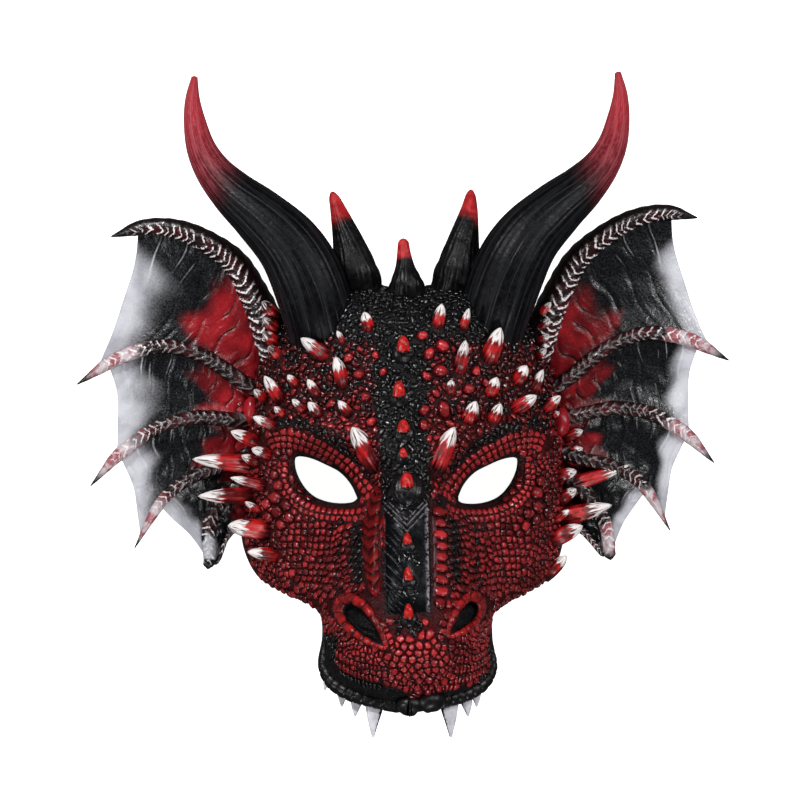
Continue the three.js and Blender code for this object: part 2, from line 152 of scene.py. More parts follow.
EDGE_SHARES = np.linspace(0, 1, 801)
EDGE = even_curve(RIM, EDGE_SHARES)
EDGE[:, 2] = np.maximum(EDGE[:, 2], 0)
EDGE_RUN = np.gradient(EDGE[:, :2], axis=0)
EDGE_RUN /= np.linalg.norm(EDGE_RUN, axis=1)[:, None]
EDGE = np.column_stack([EDGE, EDGE_RUN, through(SPINE, EDGE_SHARES)])


def plan(along, across, inset=0):
    """x and y of a point of the face, and the height of the edge beside it. along is the share of
    half the outline from the forehead to the lip, across the share of the way out to it from the
    centre line, negative on the left. The outline is moved in by the inset."""
    x, y, height, run_x, run_y, middle = (np.interp(along, EDGE_SHARES, EDGE[:, k]) for k in range(6))
    closed = (np.asarray(along) > 0) & (np.asarray(along) < 1)
    x = (x + inset * run_y) * closed
    y = y - inset * run_x
    return x * across, middle + (y - middle) * np.abs(across), height


def spot(x, y):
    """along and across of points given by x and y: the spoke that each lies on is found from the
    sign of its cross product with 401 spokes."""
    x, y = np.broadcast_arrays(np.asarray(x, float), np.asarray(y, float))
    side, up = np.maximum(np.abs(x), 0.01).reshape(-1, 1), y.reshape(-1, 1)
    spokes = EDGE[::2]
    past = (spokes[:, 1] - spokes[:, 5]) * side - spokes[:, 0] * (up - spokes[:, 5])
    after = np.clip((past <= 0).argmax(1), 1, len(spokes) - 1)
    row = np.arange(len(after))
    before = past[row, after - 1]
    step = np.clip(before / (before - past[row, after]), 0, 1)
    mixed = spokes[after - 1] + (spokes[after] - spokes[after - 1]) * step[:, None]
    across = np.hypot(side[:, 0], up[:, 0] - mixed[:, 5]) / np.hypot(mixed[:, 0], mixed[:, 1] - mixed[:, 5])
    along = (after - 1 + step) / (len(spokes) - 1)
    return along.reshape(x.shape), (np.where(x.ravel() < 0, -1, 1) * across).reshape(x.shape)


def off_line(x, y, line):
    """Distance from plan points to a broken line, and the share of the line that is nearest."""
    nearest, share = np.full(np.shape(x), np.inf), np.zeros(np.shape(x))
    for i, (start, end) in enumerate(zip(line[:-1], line[1:])):
        run = end - start
        t = np.clip(((x - start[0]) * run[0] + (y - start[1]) * run[1]) / (run @ run), 0, 1)
        gap = np.hypot(x - start[0] - t * run[0], y - start[1] - t * run[1])
        share = np.where(gap < nearest, (i + t) / (len(line) - 1), share)
        nearest = np.minimum(gap, nearest)
    return nearest, share


EYE_STEPS = 61
EYE_LINE = even_curve(EYE, np.linspace(0, 1, EYE_STEPS))
UPPER_LID_LINE = even_curve(UPPER_LID, np.linspace(0, 1, 25))
LOWER_LID_LINE = even_curve(LOWER_LID, np.linspace(0, 1, 25))


def eye_gap(x, y):
    """Distance outside the nearer eye hole's edge, negative inside it, and the nearest share of the
    edge. A point is inside if a line to its right crosses the edge an odd number of times."""
    side = np.abs(x)
    gap, share = off_line(side, y, EYE_LINE)
    start, end = EYE_LINE[:-1].T[..., None], EYE_LINE[1:].T[..., None]
    flat_x, flat_y = side.ravel(), y.ravel()
    spans = (start[1] > flat_y) != (end[1] > flat_y)
    with np.errstate(divide="ignore", invalid="ignore"):
        cut = start[0] + (flat_y - start[1]) / (end[1] - start[1]) * (end[0] - start[0])
    inside = (spans & (flat_x < cut)).sum(0) % 2 == 1
    return np.where(inside.reshape(side.shape), -gap, gap), share


def off_crest(x, y):
    """Distance to the right of the crest's middle line."""
    return x - through(CREST, y)


def narrowing(share):
    """How wide a nostril is at a share of its half length: evenly more to the outer end."""
    return 1 + NOSTRIL_TAPER * np.clip(share, -1.5, 1.5)


def in_nostril(x, y):
    """Distance from the nostril's middle as a share of its size, for the nearer nostril: an ellipse
    that narrows towards the lip."""
    shares = []
    for side, (mid_x, mid_y, long, wide, turn) in NOSTRILS.items():
        across, up = side * x - mid_x, y - mid_y
        u = across * math.cos(turn) + up * math.sin(turn)
        v = -across * math.sin(turn) + up * math.cos(turn)
        shares.append(np.hypot(u / long, v / (wide * narrowing(u / long))))
    return np.minimum(*shares)


def main_form(x, y, inset=0):
    """Height of the face over the floor: a crowned face, a square-sided snout that rises out of it,
    and the eye sockets sunk in it."""
    side = np.abs(x)
    face = through(FACE_HEIGHT, y) * (1 - TEMPLE_FALL * (side / FACE_HALF_WIDTH) ** 2)
    half = through(SNOUT_HALF_WIDTH, y) - SNOUT_INSET * inset
    snout = through(SNOUT_RISE, y) / (1 + (side / half) ** 4)
    socket = SOCKET_DEEP * bell(side - SOCKET_X, SOCKET_HALF) * bell(y - SOCKET_Y, SOCKET_HIGH)
    return face + snout - socket - inset


def carving(x, y):
    """Height of the carved forms over the main form: rounded ridges, the crest, rolled lids, sunk
    rims round the eye holes, pits and swollen rims at the nostrils, grooves beside the nose, and a
    shallow unevenness."""
    side, crest = np.abs(x), off_crest(x, y)
    height = CREST_RISE[0] * bell(crest, CREST_RISE[1]) * fade(y, -104, -94) * fade(y, 58, 46)
    for start, end, high, half in RIDGES:
        height = height + high * bell(off_line(side, y, np.array([start, end], float))[0], half)
    height -= EYE_SINK[0] * bell(np.maximum(eye_gap(x, y)[0], 0), EYE_SINK[1])
    for line, (high, half) in ((UPPER_LID_LINE, UPPER_ROLL), (LOWER_LID_LINE, LOWER_ROLL)):
        lid, share = off_line(side, y, line)
        height += high * bell(lid, half) * fade(share, 0, 0.1) * fade(share, 1, 0.85)
    nostril = in_nostril(x, y)
    height += PIT_ROLL[0] * bell(nostril - 1.35, PIT_ROLL[1]) - PIT_DEEP * fade(nostril, 1.12, 0.7)
    beside = bell(np.abs(crest) - 11, NOSE_GROOVE[1]) + bell(np.abs(crest) - 22.5, 2)
    height -= NOSE_GROOVE[0] * beside * fade(y, -48, -56) * fade(y, -98, -90)
    return height + 0.25 * np.sin(x / 4.1 + 1) * np.sin(y / 3.3) + 0.2 * np.sin(x / 1.9) * np.sin(y / 2.3 + 2)


def rise(x, y, edge_height, across, inset=0):
    """Height of the face: from its full height to the edge's by the rule that a share r of the way
    out keeps (1 - r to the power FLATNESS) to the power SHOULDER of it. The inside has no carving."""
    form = main_form(x, y, inset)
    if inset == 0:
        form = form + carving(x, y)
    kept = (1 - np.clip(np.abs(across), 0, 1) ** FLATNESS) ** SHOULDER
    return edge_height + (form - edge_height) * kept


def skin(along, across):
    """Points of the outside of the face."""
    x, y, edge_height = plan(along, across)
    return np.stack([x, y, rise(x, y, edge_height, across)], -1)


def unit(vectors):
    """Vectors shortened or drawn out to a length of 1."""
    return vectors / np.maximum(np.linalg.norm(vectors, axis=-1, keepdims=True), 1e-9)


def stand(along, across, off_edge=0.985, step_down=0.002, step_aside=0.004):
    """Point of the face, the way down it and the way out of it there, from points a step away on
    all four sides. The very edge, where the skin stands upright, is kept off."""
    across = np.clip(across, -off_edge, off_edge)
    place = skin(along, across)
    down = skin(along + step_down, across) - skin(along - step_down, across)
    aside = skin(along, across + step_aside) - skin(along, across - step_aside)
    out = unit(np.cross(down, aside))
    out *= np.where(out[..., 2:] < 0, -1, 1)
    return place, unit(down - out * (down * out).sum(-1, keepdims=True)), out


def ink_and_shade_at(x, y):
    """How black the face is painted, from 0 to 1: the strongest of the marks there. Beside the nose, under
    the eye, at the eye's inner corner and in the valley the mark is painted shade in those hollows; the other
    marks are black paint.
    """
    side, crest = np.abs(x), np.abs(off_crest(x, y))
    along, across = spot(x, y)
    out = np.abs(across) - (0.88 - 0.12 * fade(along, 0.84, 0.92) - 0.1 * (x < 0))
    over_lid = off_line(side, y, UPPER_LID_LINE + [0, 8.5])[0]
    marks = {
        "stripe": fade(crest, 13.5, 10) * fade(y, -108, -100),
        "forehead": 0.5 * (fade(y, -16, -6) + fade(y, 24, 38) + fade(crest, 15, 9) * fade(y, -40, -30)),
        "over the lid": 0.72 * bell(over_lid, 4.5),
        # This mark and the next two, and the valley mark, are painted shade darkening the face's hollows; the
        # others are black paint
        "painted shade beside the nose": 0.75 * bell(crest - 24, 4.5) * fade(y, -50, -60) * fade(y, -98, -86),
        "painted shade under the eye": 0.6 * bell(side - 33, 15) * bell(y + 63, 5),
        "painted shade at the inner corner": 0.9 * bell(side - 17, 6) * bell(y + 52, 8),
        "rim of the eye": 0.85 * fade(eye_gap(x, y)[0], 2.4, 1),
        "painted shade in the valley": 0.56 * bell(side - 34, 3) * fade(y, -62, -70) * fade(y, -104, -96),
        "lip": fade(out, 0, 0.06) * fade(along, 0.77, 0.82),
        "over the lip": 0.34 * fade(out, -0.22, -0.08) * fade(along, 0.78, 0.84),
        "nostril": fade(in_nostril(x, y), 1.35, 1.15),
    }
    return np.clip(np.max(list(marks.values()), axis=0), 0, 1)


def grid_faces(index):
    """Two triangles for each square of a grid of corner numbers."""
    a, b, c, d = index[:-1, :-1], index[:-1, 1:], index[1:, 1:], index[1:, :-1]
    return np.stack([np.stack([a, b, c], -1), np.stack([a, c, d], -1)], 2).reshape(-1, 3)


def thickened(faces, count):
    """Faces of a sheet, of its back, whose corner numbers are count higher, and of the walls that
    join them wherever an edge of the sheet has a face on one side only."""
    edges = np.concatenate([faces[:, [0, 1]], faces[:, [1, 2]], faces[:, [2, 0]]])
    forward, backward = edges[:, 0] * count + edges[:, 1], edges[:, 1] * count + edges[:, 0]
    a, b = edges[~np.isin(forward, backward)].T
    walls = np.concatenate([np.stack([b, a, a + count], -1), np.stack([b, a + count, b + count], -1)])
    return faces, faces[:, ::-1] + count, walls


def mesh_piece(name, corners, faces, marks):
    """New object at the origin from corners in millimetres, triangles, and named marks: one number
    or one vector for each corner, which its material reads."""
    used, faces = np.unique(faces, return_inverse=True)
    faces = faces.reshape(-1, 3).astype(np.int32)
    mesh = bpy.data.meshes.new(name)
    mesh.vertices.add(len(used))
    mesh.vertices.foreach_set("co", (corners[used] * MM).ravel())
    mesh.loops.add(faces.size)
    mesh.loops.foreach_set("vertex_index", faces.ravel())
    mesh.polygons.add(len(faces))
    mesh.polygons.foreach_set("loop_start", np.arange(0, faces.size, 3, dtype=np.int32))
    mesh.update(calc_edges=True)
    mesh.validate()
    mesh.shade_smooth()
    for mark, values in marks.items():
        values = np.asarray(values, float)[used]
        sort, field = ("FLOAT", "value") if values.ndim == 1 else ("FLOAT_VECTOR", "vector")
        mesh.attributes.new(mark, sort, "POINT").data.foreach_set(field, values.ravel())
    piece = bpy.data.objects.new(name, mesh)
    bpy.context.scene.collection.objects.link(piece)
    return piece


class Paint:
    """Procedural finish on one shader. Each method adds a node or two and gives their output."""

    def __init__(self, name, **shader):
        self.material = bpy.data.materials.new(name)
        self.material.use_nodes = True
        self.nodes, self.links = self.material.node_tree.nodes, self.material.node_tree.links
        self.shader = self.nodes["Principled BSDF"]
        for socket, value in shader.items():
            self.shader.inputs[socket.replace("_", " ")].default_value = value
        self.place = self.nodes.new("ShaderNodeTexCoord").outputs["Object"]

    def feed(self, socket, value):
        """Links an output to a socket, or sets a number or a colour on it."""
        if isinstance(value, bpy.types.NodeSocket):
            self.links.new(value, socket)
        elif value is not None:
            socket.default_value = (*value, 1) if isinstance(value, tuple) and len(value) == 3 else value

    def mark(self, name, output="Fac"):
        """What mesh_piece wrote on the corners under a name."""
        node = self.nodes.new("ShaderNodeAttribute")
        node.attribute_name = name
        return node.outputs[output]

    def noise(self, scale, detail=3, where=None, distortion=0):
        """Cloudy noise about 0.5, with scale clouds to the metre."""
        node = self.nodes.new("ShaderNodeTexNoise")
        self.feed(node.inputs["Vector"], where or self.place)
        for socket, value in (("Scale", scale), ("Detail", detail), ("Distortion", distortion)):
            node.inputs[socket].default_value = value
        return node.outputs["Fac"]

    def cells(self, scale, feature="DISTANCE_TO_EDGE"):
        """Distance to the edges or the middles of cells, scale of them to the metre."""
        node = self.nodes.new("ShaderNodeTexVoronoi")
        node.feature = feature
        self.feed(node.inputs["Vector"], self.place)
        node.inputs["Scale"].default_value = scale
        return node.outputs["Distance"]

    def math(self, operation, first, second):
        """One sum of two values."""
        node = self.nodes.new("ShaderNodeMath")
        node.operation = operation
        self.feed(node.inputs[0], first)
        self.feed(node.inputs[1], second)
        return node.outputs[0]

    def times(self, first, *others):
        """Product of values."""
        for other in others:
            first = self.math("MULTIPLY", first, other)
        return first

    def plus(self, first, *others):
        """Sum of values."""
        for other in others:
            first = self.math("ADD", first, other)
        return first

    def swing(self, noise, size):
        """A noise less its mean of 0.5, times a size."""
        return self.times(self.math("SUBTRACT", noise, 0.5), size)

    def fade(self, value, low, high, start=0, end=1):
        """S-shaped change from start at low to end at high."""
        node = self.nodes.new("ShaderNodeMapRange")
        node.interpolation_type = "SMOOTHSTEP"
        for socket, number in zip(node.inputs, (value, low, high, start, end)):
            self.feed(socket, number)
        return node.outputs[0]

    def mixed(self, share, first, second):
        """Colour between two, at a share from the first to the second."""
        node = self.nodes.new("ShaderNodeMix")
        node.data_type = "RGBA"
        for number, value in ((0, share), (6, first), (7, second)):
            self.feed(node.inputs[number], value)
        return node.outputs[2]

    def bump(self, height, distance, under=None):
        """Relief of a height, 1 of it a distance in mm, on top of another."""
        node = self.nodes.new("ShaderNodeBump")
        node.inputs["Distance"].default_value = distance * MM
        self.feed(node.inputs["Height"], height)
        self.feed(node.inputs["Normal"], under)
        return node.outputs["Normal"]

    def pored(self, height, distance, pores=1500):
        """The same relief with the foam skin's fine pores over it."""
        return self.bump(self.noise(pores, 2), PORE_DEEP, self.bump(height, distance))

    def finish(self, colour, roughness=None, normal=None):
        """The finished material. Roughness may be a noise with the lowest and highest value it gives."""
        if isinstance(roughness, tuple):
            roughness = self.fade(roughness[0], 0.3, 0.7, *roughness[1:])
        for socket, value in (("Base Color", colour), ("Roughness", roughness), ("Normal", normal)):
            self.feed(self.shader.inputs[socket], value)
        return self.material


def eye_snapped(x, y):
    """Moves corners just inside an eye hole's edge, or very close outside it, onto the edge, and
    gives each corner's distance to it."""
    gap, share = eye_gap(x, y)
    edge = np.stack([np.interp(share, np.linspace(0, 1, EYE_STEPS), EYE_LINE[:, k]) for k in (0, 1)], -1)
    near = (gap < 0.3) & (gap > -2.6)
    x, y = np.where(near, np.sign(x) * edge[..., 0], x), np.where(near, edge[..., 1], y)
    return x, y, np.where(near, 0, gap)


step_out = np.linspace(-1, 1, 2 * SHELL_COLUMNS + 1)
crowded_out = np.sign(step_out) * np.sin(np.abs(step_out) * math.pi / 2)
step_out = (1 - EDGE_CROWDING) * step_out + EDGE_CROWDING * crowded_out
share_down, step_out = np.broadcast_arrays(np.linspace(0, 1, SHELL_ROWS + 1)[:, None], step_out)
x, y, edge_height = plan(share_down, step_out)
x, y, hole_gap = eye_snapped(x, y)
outside = np.stack([x, y, rise(x, y, edge_height, step_out)], -1)
inner_x, inner_y, _ = plan(share_down, step_out, WALL)
at_eye = bell(np.maximum(hole_gap, 0), EYE_WALL_REACH)
inner_x, inner_y = inner_x + (x - inner_x) * at_eye, inner_y + (y - inner_y) * at_eye
inside = np.stack([inner_x, inner_y, rise(inner_x, inner_y, edge_height, step_out, WALL)], -1)
number = np.arange(x.size).reshape(x.shape)
for closed_row in (0, SHELL_ROWS):
    number[closed_row, SHELL_COLUMNS + 1 :] = number[closed_row, :SHELL_COLUMNS][::-1]
faces = grid_faces(number)
around = hole_gap.ravel()[faces]
faces = faces[(around.max(1) > 0) & (around.min(1) >= 0)]
front, back, walls = thickened(faces[:, ::-1], x.size)
corners = np.concatenate([outside.reshape(-1, 3), inside.reshape(-1, 3)])
# The mark holds black paint and painted shade in the face's hollows
ink_and_shade = np.concatenate([ink_and_shade_at(x, y).ravel(), np.ones(x.size)])
shell = mesh_piece("face_shell", corners, np.concatenate([front, back, walls]), {"ink_and_shade": ink_and_shade})

paint = Paint("ground_paint", Roughness=0.5, Specular_IOR_Level=0.15)
patches = paint.fade(paint.noise(260, 4), 0.35, 0.65)
black = paint.mixed(patches, (0.004, 0.004, 0.005), (0.01, 0.009, 0.01))
red = paint.mixed(patches, (0.02, 0.001, 0.0015), (0.05, 0.002, 0.003))
grain = paint.noise(1400, 2)
normal = paint.bump(grain, 0.05, paint.bump(paint.fade(paint.cells(520), 0, 0.25), 0.3))
# Red to black by the mark: black paint, and painted shade in the hollows beside the nose and round the eyes
colour = paint.mixed(paint.mark("ink_and_shade"), red, black)
shell.data.materials.append(paint.finish(colour, (grain, 0.38, 0.55), normal))
paint = Paint("raw_foam", Roughness=0.9)
pores = paint.cells(900, feature="F1")
colour = paint.mixed(
    paint.fade(paint.noise(60, 3), 0.3, 0.7), (0.014, 0.013, 0.013), (0.03, 0.026, 0.026)
)
normal = paint.bump(paint.noise(700, 3), 0.3, paint.bump(pores, 0.4))
shell.data.materials.append(paint.finish(colour, paint.fade(pores, 0.1, 0.6, 0.8, 0.95), normal))
shell.data.polygons.foreach_set(
    "material_index", np.repeat([0, 1], [len(front), len(back) + len(walls)]).astype(np.int32)
)
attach(shell, "root")
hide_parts("mask")

# Scales of the face. The real ones are pebbles of the same foam, moulded with the shell: level rows on the
# cheeks, squares on the eyelids, beads on the forehead and drops on the muzzle, brushed with crimson over
# black so that the black stays in the gaps. Their lighter tops are that brushed crimson and partly a painted
# highlight, and they darken with the face's painted shade in its hollows.
SCALE_RINGS = [(1.0, -0.35), (0.93, 0.5), (0.62, 0.92)]  # share of the reach, share of the height
SCALE_SIDES, SCALE_GAP, NEIGHBOURS, BATCH = 9, 0.26, 14, 500
LEAST_REACH, MOST_REACH, CROWDED = 0.25, 2.1, 0.62  # in mm, over the half size, over both half sizes
EYES_FOOT, FACE_FOOT = -26, -108  # y where the eyes' level and the cheeks end
CHEEK, FOREHEAD, MUZZLE, DROP, RIDGE, LID, CREST_PEBBLE, BEAD, BUBBLE, BARE = range(10)
# Red beads of the forehead: x, y, half size
BEADS = [
    (6.5, 31.8, 2.2), (16.1, 26.8, 2.9), (9.5, 22.8, 2.7), (15.5, 14.3, 2.9), (7.9, 11.4, 2.3),
    (33.3, 14.3, 2.2), (12.8, 2.9, 2), (16.8, -5.1, 3), (7.2, -5.5, 2.5), (6.6, -13, 2.2), (29.7, 5.3, 2.6),
    (20.6, -12.6, 1.8), (-18.1, -11.4, 2.3), (-21.4, 1.1, 2.3), (-29.7, 21.1, 2), (-12.6, 13.5, 2),
    (-24.5, 12.2, 2.4), (-16.5, 22, 1.8), (24.4, 22.6, 2.1), (38.2, 8.6, 1.9), (-38.6, -2.6, 2.1),
    (-25.4, -16.2, 2.1),
]
# Swollen round scales outside the eyes: x, y, half size
BUBBLES = [
    (-66.6, -38.5, 2.3), (-64.4, -44, 2.7), (-69.4, -46.2, 2.3), (-65.8, -50.2, 3), (-60.6, -53.8, 2.4),
    (-70.6, -53.4, 2.6), (-64.8, -57, 2.8), (-58.6, -60, 2.5), (-69.2, -60.4, 2.5), (-63, -63.8, 2.3),
    (68, -41.2, 2.4), (66.2, -47.4, 2.8), (71.8, -49.8, 2.3), (66.6, -54, 2.7), (61.4, -57.6, 2.4),
    (72, -57, 2.3), (66, -60.8, 2.5), (60.2, -64, 2.3),
]
# Knobs of the crest: x, y of the red tip, its width, its length, width of the black body
KNOBS = np.array([
    (-3.5, 26.8, 6.6, 8.4, 11.5), (-5.6, 4.5, 6.2, 8.4, 11), (-3.4, -13.9, 6.2, 6.8, 11),
    (-3.6, -26.8, 4.2, 4.8, 8.5), (-1.8, -41, 7, 9, 17.5), (-2, -69.2, 4.6, 6.8, 8),
    (-1.9, -85.9, 4.6, 7.4, 8.5), (-1.8, -103.6, 4.8, 8, 8.5),
])
# Small spikes of the brow, temples and cheeks: foot x, y, z, tip x, y, z, width
SPIKES = np.array([
    (-20.2, 35.5, 64.1, -22.7, 43.4, 67, 5.5), (-32.6, 28.2, 60.2, -36.2, 34.1, 62.6, 3),
    (-41.6, 21.8, 55.9, -54.2, 30.3, 61.2, 6.5), (-32.8, 7.2, 60.6, -36.8, 21.1, 65.7, 6.5),
    (-55.7, 6.9, 47.2, -60.7, 11.9, 49.7, 4), (-45.2, 1.7, 54.4, -50.7, 9.8, 57.8, 4.5),
    (-51.8, -6.3, 52.5, -58.3, -0.2, 55.6, 4), (-44.3, -7.8, 56.6, -50.3, -1.7, 59.6, 5),
    (-29.4, -7.9, 62.5, -35.4, -0.8, 65.7, 4.5), (-17.6, -31.8, 66.6, -28.7, -13.8, 74, 9.5),
    (-78.1, 2, 19.1, -85.8, 8.2, 19.9, 5.1), (-71.4, -1.1, 32.1, -77.5, 4.5, 35, 4.6),
    (-82.3, -5.1, 16, -87.4, -1, 16.5, 3.1), (-63.8, -1.2, 41.7, -72.3, 11.5, 47, 6.1),
    (-62.3, -8.2, 47.1, -67.3, -4.2, 49.4, 4), (-84.4, -12.9, 16, -94.6, -9.7, 16.9, 3.1),
    (-66.4, -14.3, 41.3, -78, -9.2, 45.7, 5.1), (-75.6, -22, 26.8, -89.4, -16.8, 28, 6.1),
    (-69.5, -28.6, 33.6, -78.6, -25.5, 37, 5.1), (-75.2, -32.8, 26.9, -83.8, -29.1, 27.6, 4.6),
    (-79.8, -33.9, 19.4, -109, -31.2, 21.7, 8.7), (-71.6, -44.5, 30.6, -89.4, -40.1, 37, 5.6),
    (-78.9, -49.8, 21.6, -106, -50.1, 23.8, 8.2), (-73.8, -57.8, 27.7, -81.9, -52.6, 28.5, 3.6),
    (-70.7, -67.5, 29.3, -90.5, -64.5, 36.3, 9.2), (-65.7, -79.6, 32.3, -80.4, -77.7, 37.5, 6.1),
    (14.2, 36.8, 65, 16, 47.7, 68.9, 5.5), (26.9, 35.3, 61.9, 29.7, 45.7, 65.7, 4),
    (40.1, 20.3, 56.9, 45.8, 36.2, 62.8, 8), (25.1, 14.3, 63.7, 27.9, 29.7, 69.2, 6),
    (20.5, 3.4, 65.9, 20.9, 9.8, 68.2, 4.5), (41, 2.8, 56.7, 44.4, 11.3, 59.9, 6),
    (54.8, 9.3, 47.7, 60.1, 17.3, 51.1, 6.6), (29.5, -10.7, 63.1, 33.3, -0.7, 66.8, 6.5),
    (42.3, -10.7, 59.1, 46.1, -1.8, 62.5, 5.5), (54, -4.8, 50.5, 64.8, 2.2, 55, 6.5),
    (64.6, 5.3, 39.3, 68.9, 15.4, 43.1, 4.6), (70.5, -4.9, 34.4, 78.4, 2.2, 38.1, 5.1),
    (75.3, -8, 27, 78.8, -6, 27.3, 3.1), (86, -9.6, 16, 90.1, -5.5, 16.5, 3.6),
    (83.9, -19.4, 16, 92.1, -15.3, 16.7, 4.6), (82.8, -29.2, 16, 92.1, -24.6, 16.8, 5.7),
    (79.3, -39.4, 20.4, 88.5, -36.3, 21.2, 5.6), (80.5, -51.2, 18.2, 88.6, -45.6, 19, 5.7),
    (85.9, -44.1, 16, 116, -33.4, 18.6, 7.7), (81.1, -61.1, 16, 107.2, -53.9, 18.2, 8.8),
    (77.5, -61.9, 22.1, 84.6, -56.2, 22.8, 3.6), (77, -71.6, 21.6, 91.7, -64.5, 22.9, 7.7),
    (74.6, -89.2, 18.3, 83.8, -80, 19.3, 6.2), (13.5, -33.4, 70.8, 22.1, -13.5, 78.4, 8.9),
    (-67.5, 42.5, 30, -73.5, 49.5, 35, 6), (-67, 35.5, 30, -73.5, 41, 35.5, 6),
    (-66.5, 28.5, 31, -73, 33.5, 36, 6), (-64.5, 21.5, 33, -70.5, 26.5, 38, 5.5),
    (69, 44, 30, 73.5, 50, 34, 4), (68.5, 36.5, 30, 73, 41.5, 34, 4),
    (68, 29.5, 31, 72.5, 33.5, 35, 4), (67, 22.5, 33, 71, 26, 37, 3.8),
])
random = np.random.default_rng(7)
sown = []


def sow(kind, x, y, size, way=-math.pi / 2):
    """Notes places for scales: the kind, x and y, the half size that each claims, and the way it
    points in plan, as a turn from +X."""
    x, y, size, way = np.broadcast_arrays(x, y, size, way)
    sown.append(np.stack([np.broadcast_to(kind, x.shape), x, y, size, way], -1).reshape(-1, 5))


def rings_round_nose(pitch, jitter):
    """Places in rings round the face's centre line, one pitch apart along each ring and 0.87
    pitches from ring to ring, every other ring half a pitch on, each moved by a little chance."""
    shares = np.linspace(0, 1, 400)
    run = length_along(skin(np.full(400, 0.5), shares))
    ring_count = int(run[-1] / (0.87 * pitch))
    rings = np.interp((np.arange(ring_count) + 0.5) / ring_count * run[-1], run, shares)
    shares = np.linspace(0, 1, 500)
    places = []
    for side in (-1, 1):
        for ring, reach in enumerate(rings):
            run = length_along(skin(shares, np.full(500, side * reach)))
            count = int(run[-1] / pitch)
            steps = np.arange(count) + 0.25 + 0.5 * (ring % 2) + jitter * random.uniform(-1, 1, count)
            out = reach + jitter * random.uniform(-1, 1, count) * (rings[1] - rings[0])
            places.append(np.stack([np.interp(steps / count * run[-1], run, shares), side * out], -1))
    along, across = np.concatenate(places).T
    x, y, _ = plan(along, across)
    return x, y, along, np.abs(across)


def level_rows(side, low, high, row_pitch, pitch, jitter):
    """Places in rows that run level over a cheek with a slight smile, a pitch apart along each."""
    places = []
    for row, level in enumerate(np.arange(low, high, row_pitch)):
        x = side * np.linspace(18, 82, 300)
        y = level + 1.6 * np.sin((np.abs(x) - 24) / 15)
        along, across = spot(x, y)
        on_face = np.abs(across) < 0.8
        x, y, run = x[on_face], y[on_face], length_along(skin(along[on_face], across[on_face]))
        count = int(run[-1] / pitch)
        steps = np.arange(count) * pitch + 0.5 * (row % 2) * pitch + jitter * random.uniform(-1, 1, count)
        rise = jitter * 0.6 * random.uniform(-1, 1, count)
        places.append(np.stack([np.interp(steps, run, x), np.interp(steps, run, y) + rise], -1))
    return np.concatenate(places).T


def beside_line(line, offset, pitch, start=0.0):
    """Places a pitch apart along a plan line, moved off it to its left by the offset, and the way
    of the line there."""
    run = length_along(line)
    steps = np.arange(start * pitch, run[-1], pitch)
    x, y = np.interp(steps, run, line[:, 0]), np.interp(steps, run, line[:, 1])
    way = np.interp(steps, run, np.unwrap(np.arctan2(*np.gradient(line, axis=0).T[::-1])))
    return x - offset * np.sin(way), y + offset * np.cos(way), way


def clear(x, y):
    """True where a common scale may stand: off the eyes and lids, the nostrils and their rims, the
    nose ridges with the stripe between them, and the lip."""
    along, across = spot(x, y)
    side, crest = np.abs(x), off_crest(x, y)
    free = (eye_gap(x, y)[0] > 1.9) & (in_nostril(x, y) > 1.9) & (np.abs(across) < 0.97)
    free &= (off_line(side, y, UPPER_LID_LINE)[0] > 5.6) & (off_line(side, y, LOWER_LID_LINE)[0] > 2.9)
    free &= ~((crest < 13.5) & (crest > -22) & (y < -50) & (y > -101))
    lip = np.abs(across) > 0.95 - 0.19 * fade(along, 0.84, 0.92) - 0.1 * (x < 0)
    return free & ~(lip & (along > 0.79))


x, y, along, out = rings_round_nose(3.1, 0.42)
upper = (y > EYES_FOOT) | ((np.abs(x) < 17.5) & (y > -51))
free = clear(x, y) & (y > FACE_FOOT) & ((out > 0.78) | upper)
x, y = x[free], y[free]
kind = np.where(upper[free], FOREHEAD, CHEEK)
kind[(np.abs(off_crest(x, y)) < 12) & (y > -50)] = CREST_PEBBLE
sow(kind, x, y, np.where(kind == CHEEK, 1.4, 1.1 + 1.1 * random.random(len(x)) ** 1.5))
for side in (-1, 1):
    x, y = level_rows(side, -106, -27, 3.4, 4, 1.05)
    free = clear(x, y)
    sow(CHEEK, x[free], y[free], random.uniform(1.35, 2.1, free.sum()))
# Combs of narrow scales along the folds over the lip: x, y from the outer end
COMBS = [
    [(-40.5, -120), (-35, -125.6), (-25.4, -129.6), (-12.5, -131.5)],
    [(-37, -130), (-27, -134.4), (-15.5, -136.6)], [(-33.5, -135.4), (-24, -139), (-15, -141)],
    [(42.6, -121.5), (35.5, -126), (24, -127), (16.5, -123.5)],
    [(41, -127.6), (31, -131.4), (21.5, -132.4)], [(37, -134), (28, -137), (19.5, -138.2)],
]
COMB_PITCH, COMB_HALF, COMB_CLEAR = 1.9, 1.35, 2.3
x, y, along, out = rings_round_nose(2.6, 0.34)
free = clear(x, y) & (y <= FACE_FOOT)
for points in COMBS:
    free &= off_line(x, y, np.array(points, float))[0] > COMB_CLEAR
sow(MUZZLE, x[free], y[free], random.uniform(1.05, 1.6, free.sum()))
x, y = np.meshgrid(np.arange(-13, 19, 3.9), np.arange(-146, -112, 2.9))
x += 1.95 * (np.arange(x.shape[0]) % 2)[:, None] + random.uniform(-1, 1, x.shape)
y += random.uniform(-0.9, 0.9, y.shape)
free = clear(x, y) & (np.hypot((x - 3) / 16, (y + 130) / 16.5) < 1)
sow(DROP, x[free], y[free], random.uniform(1.5, 2.3, free.sum()))
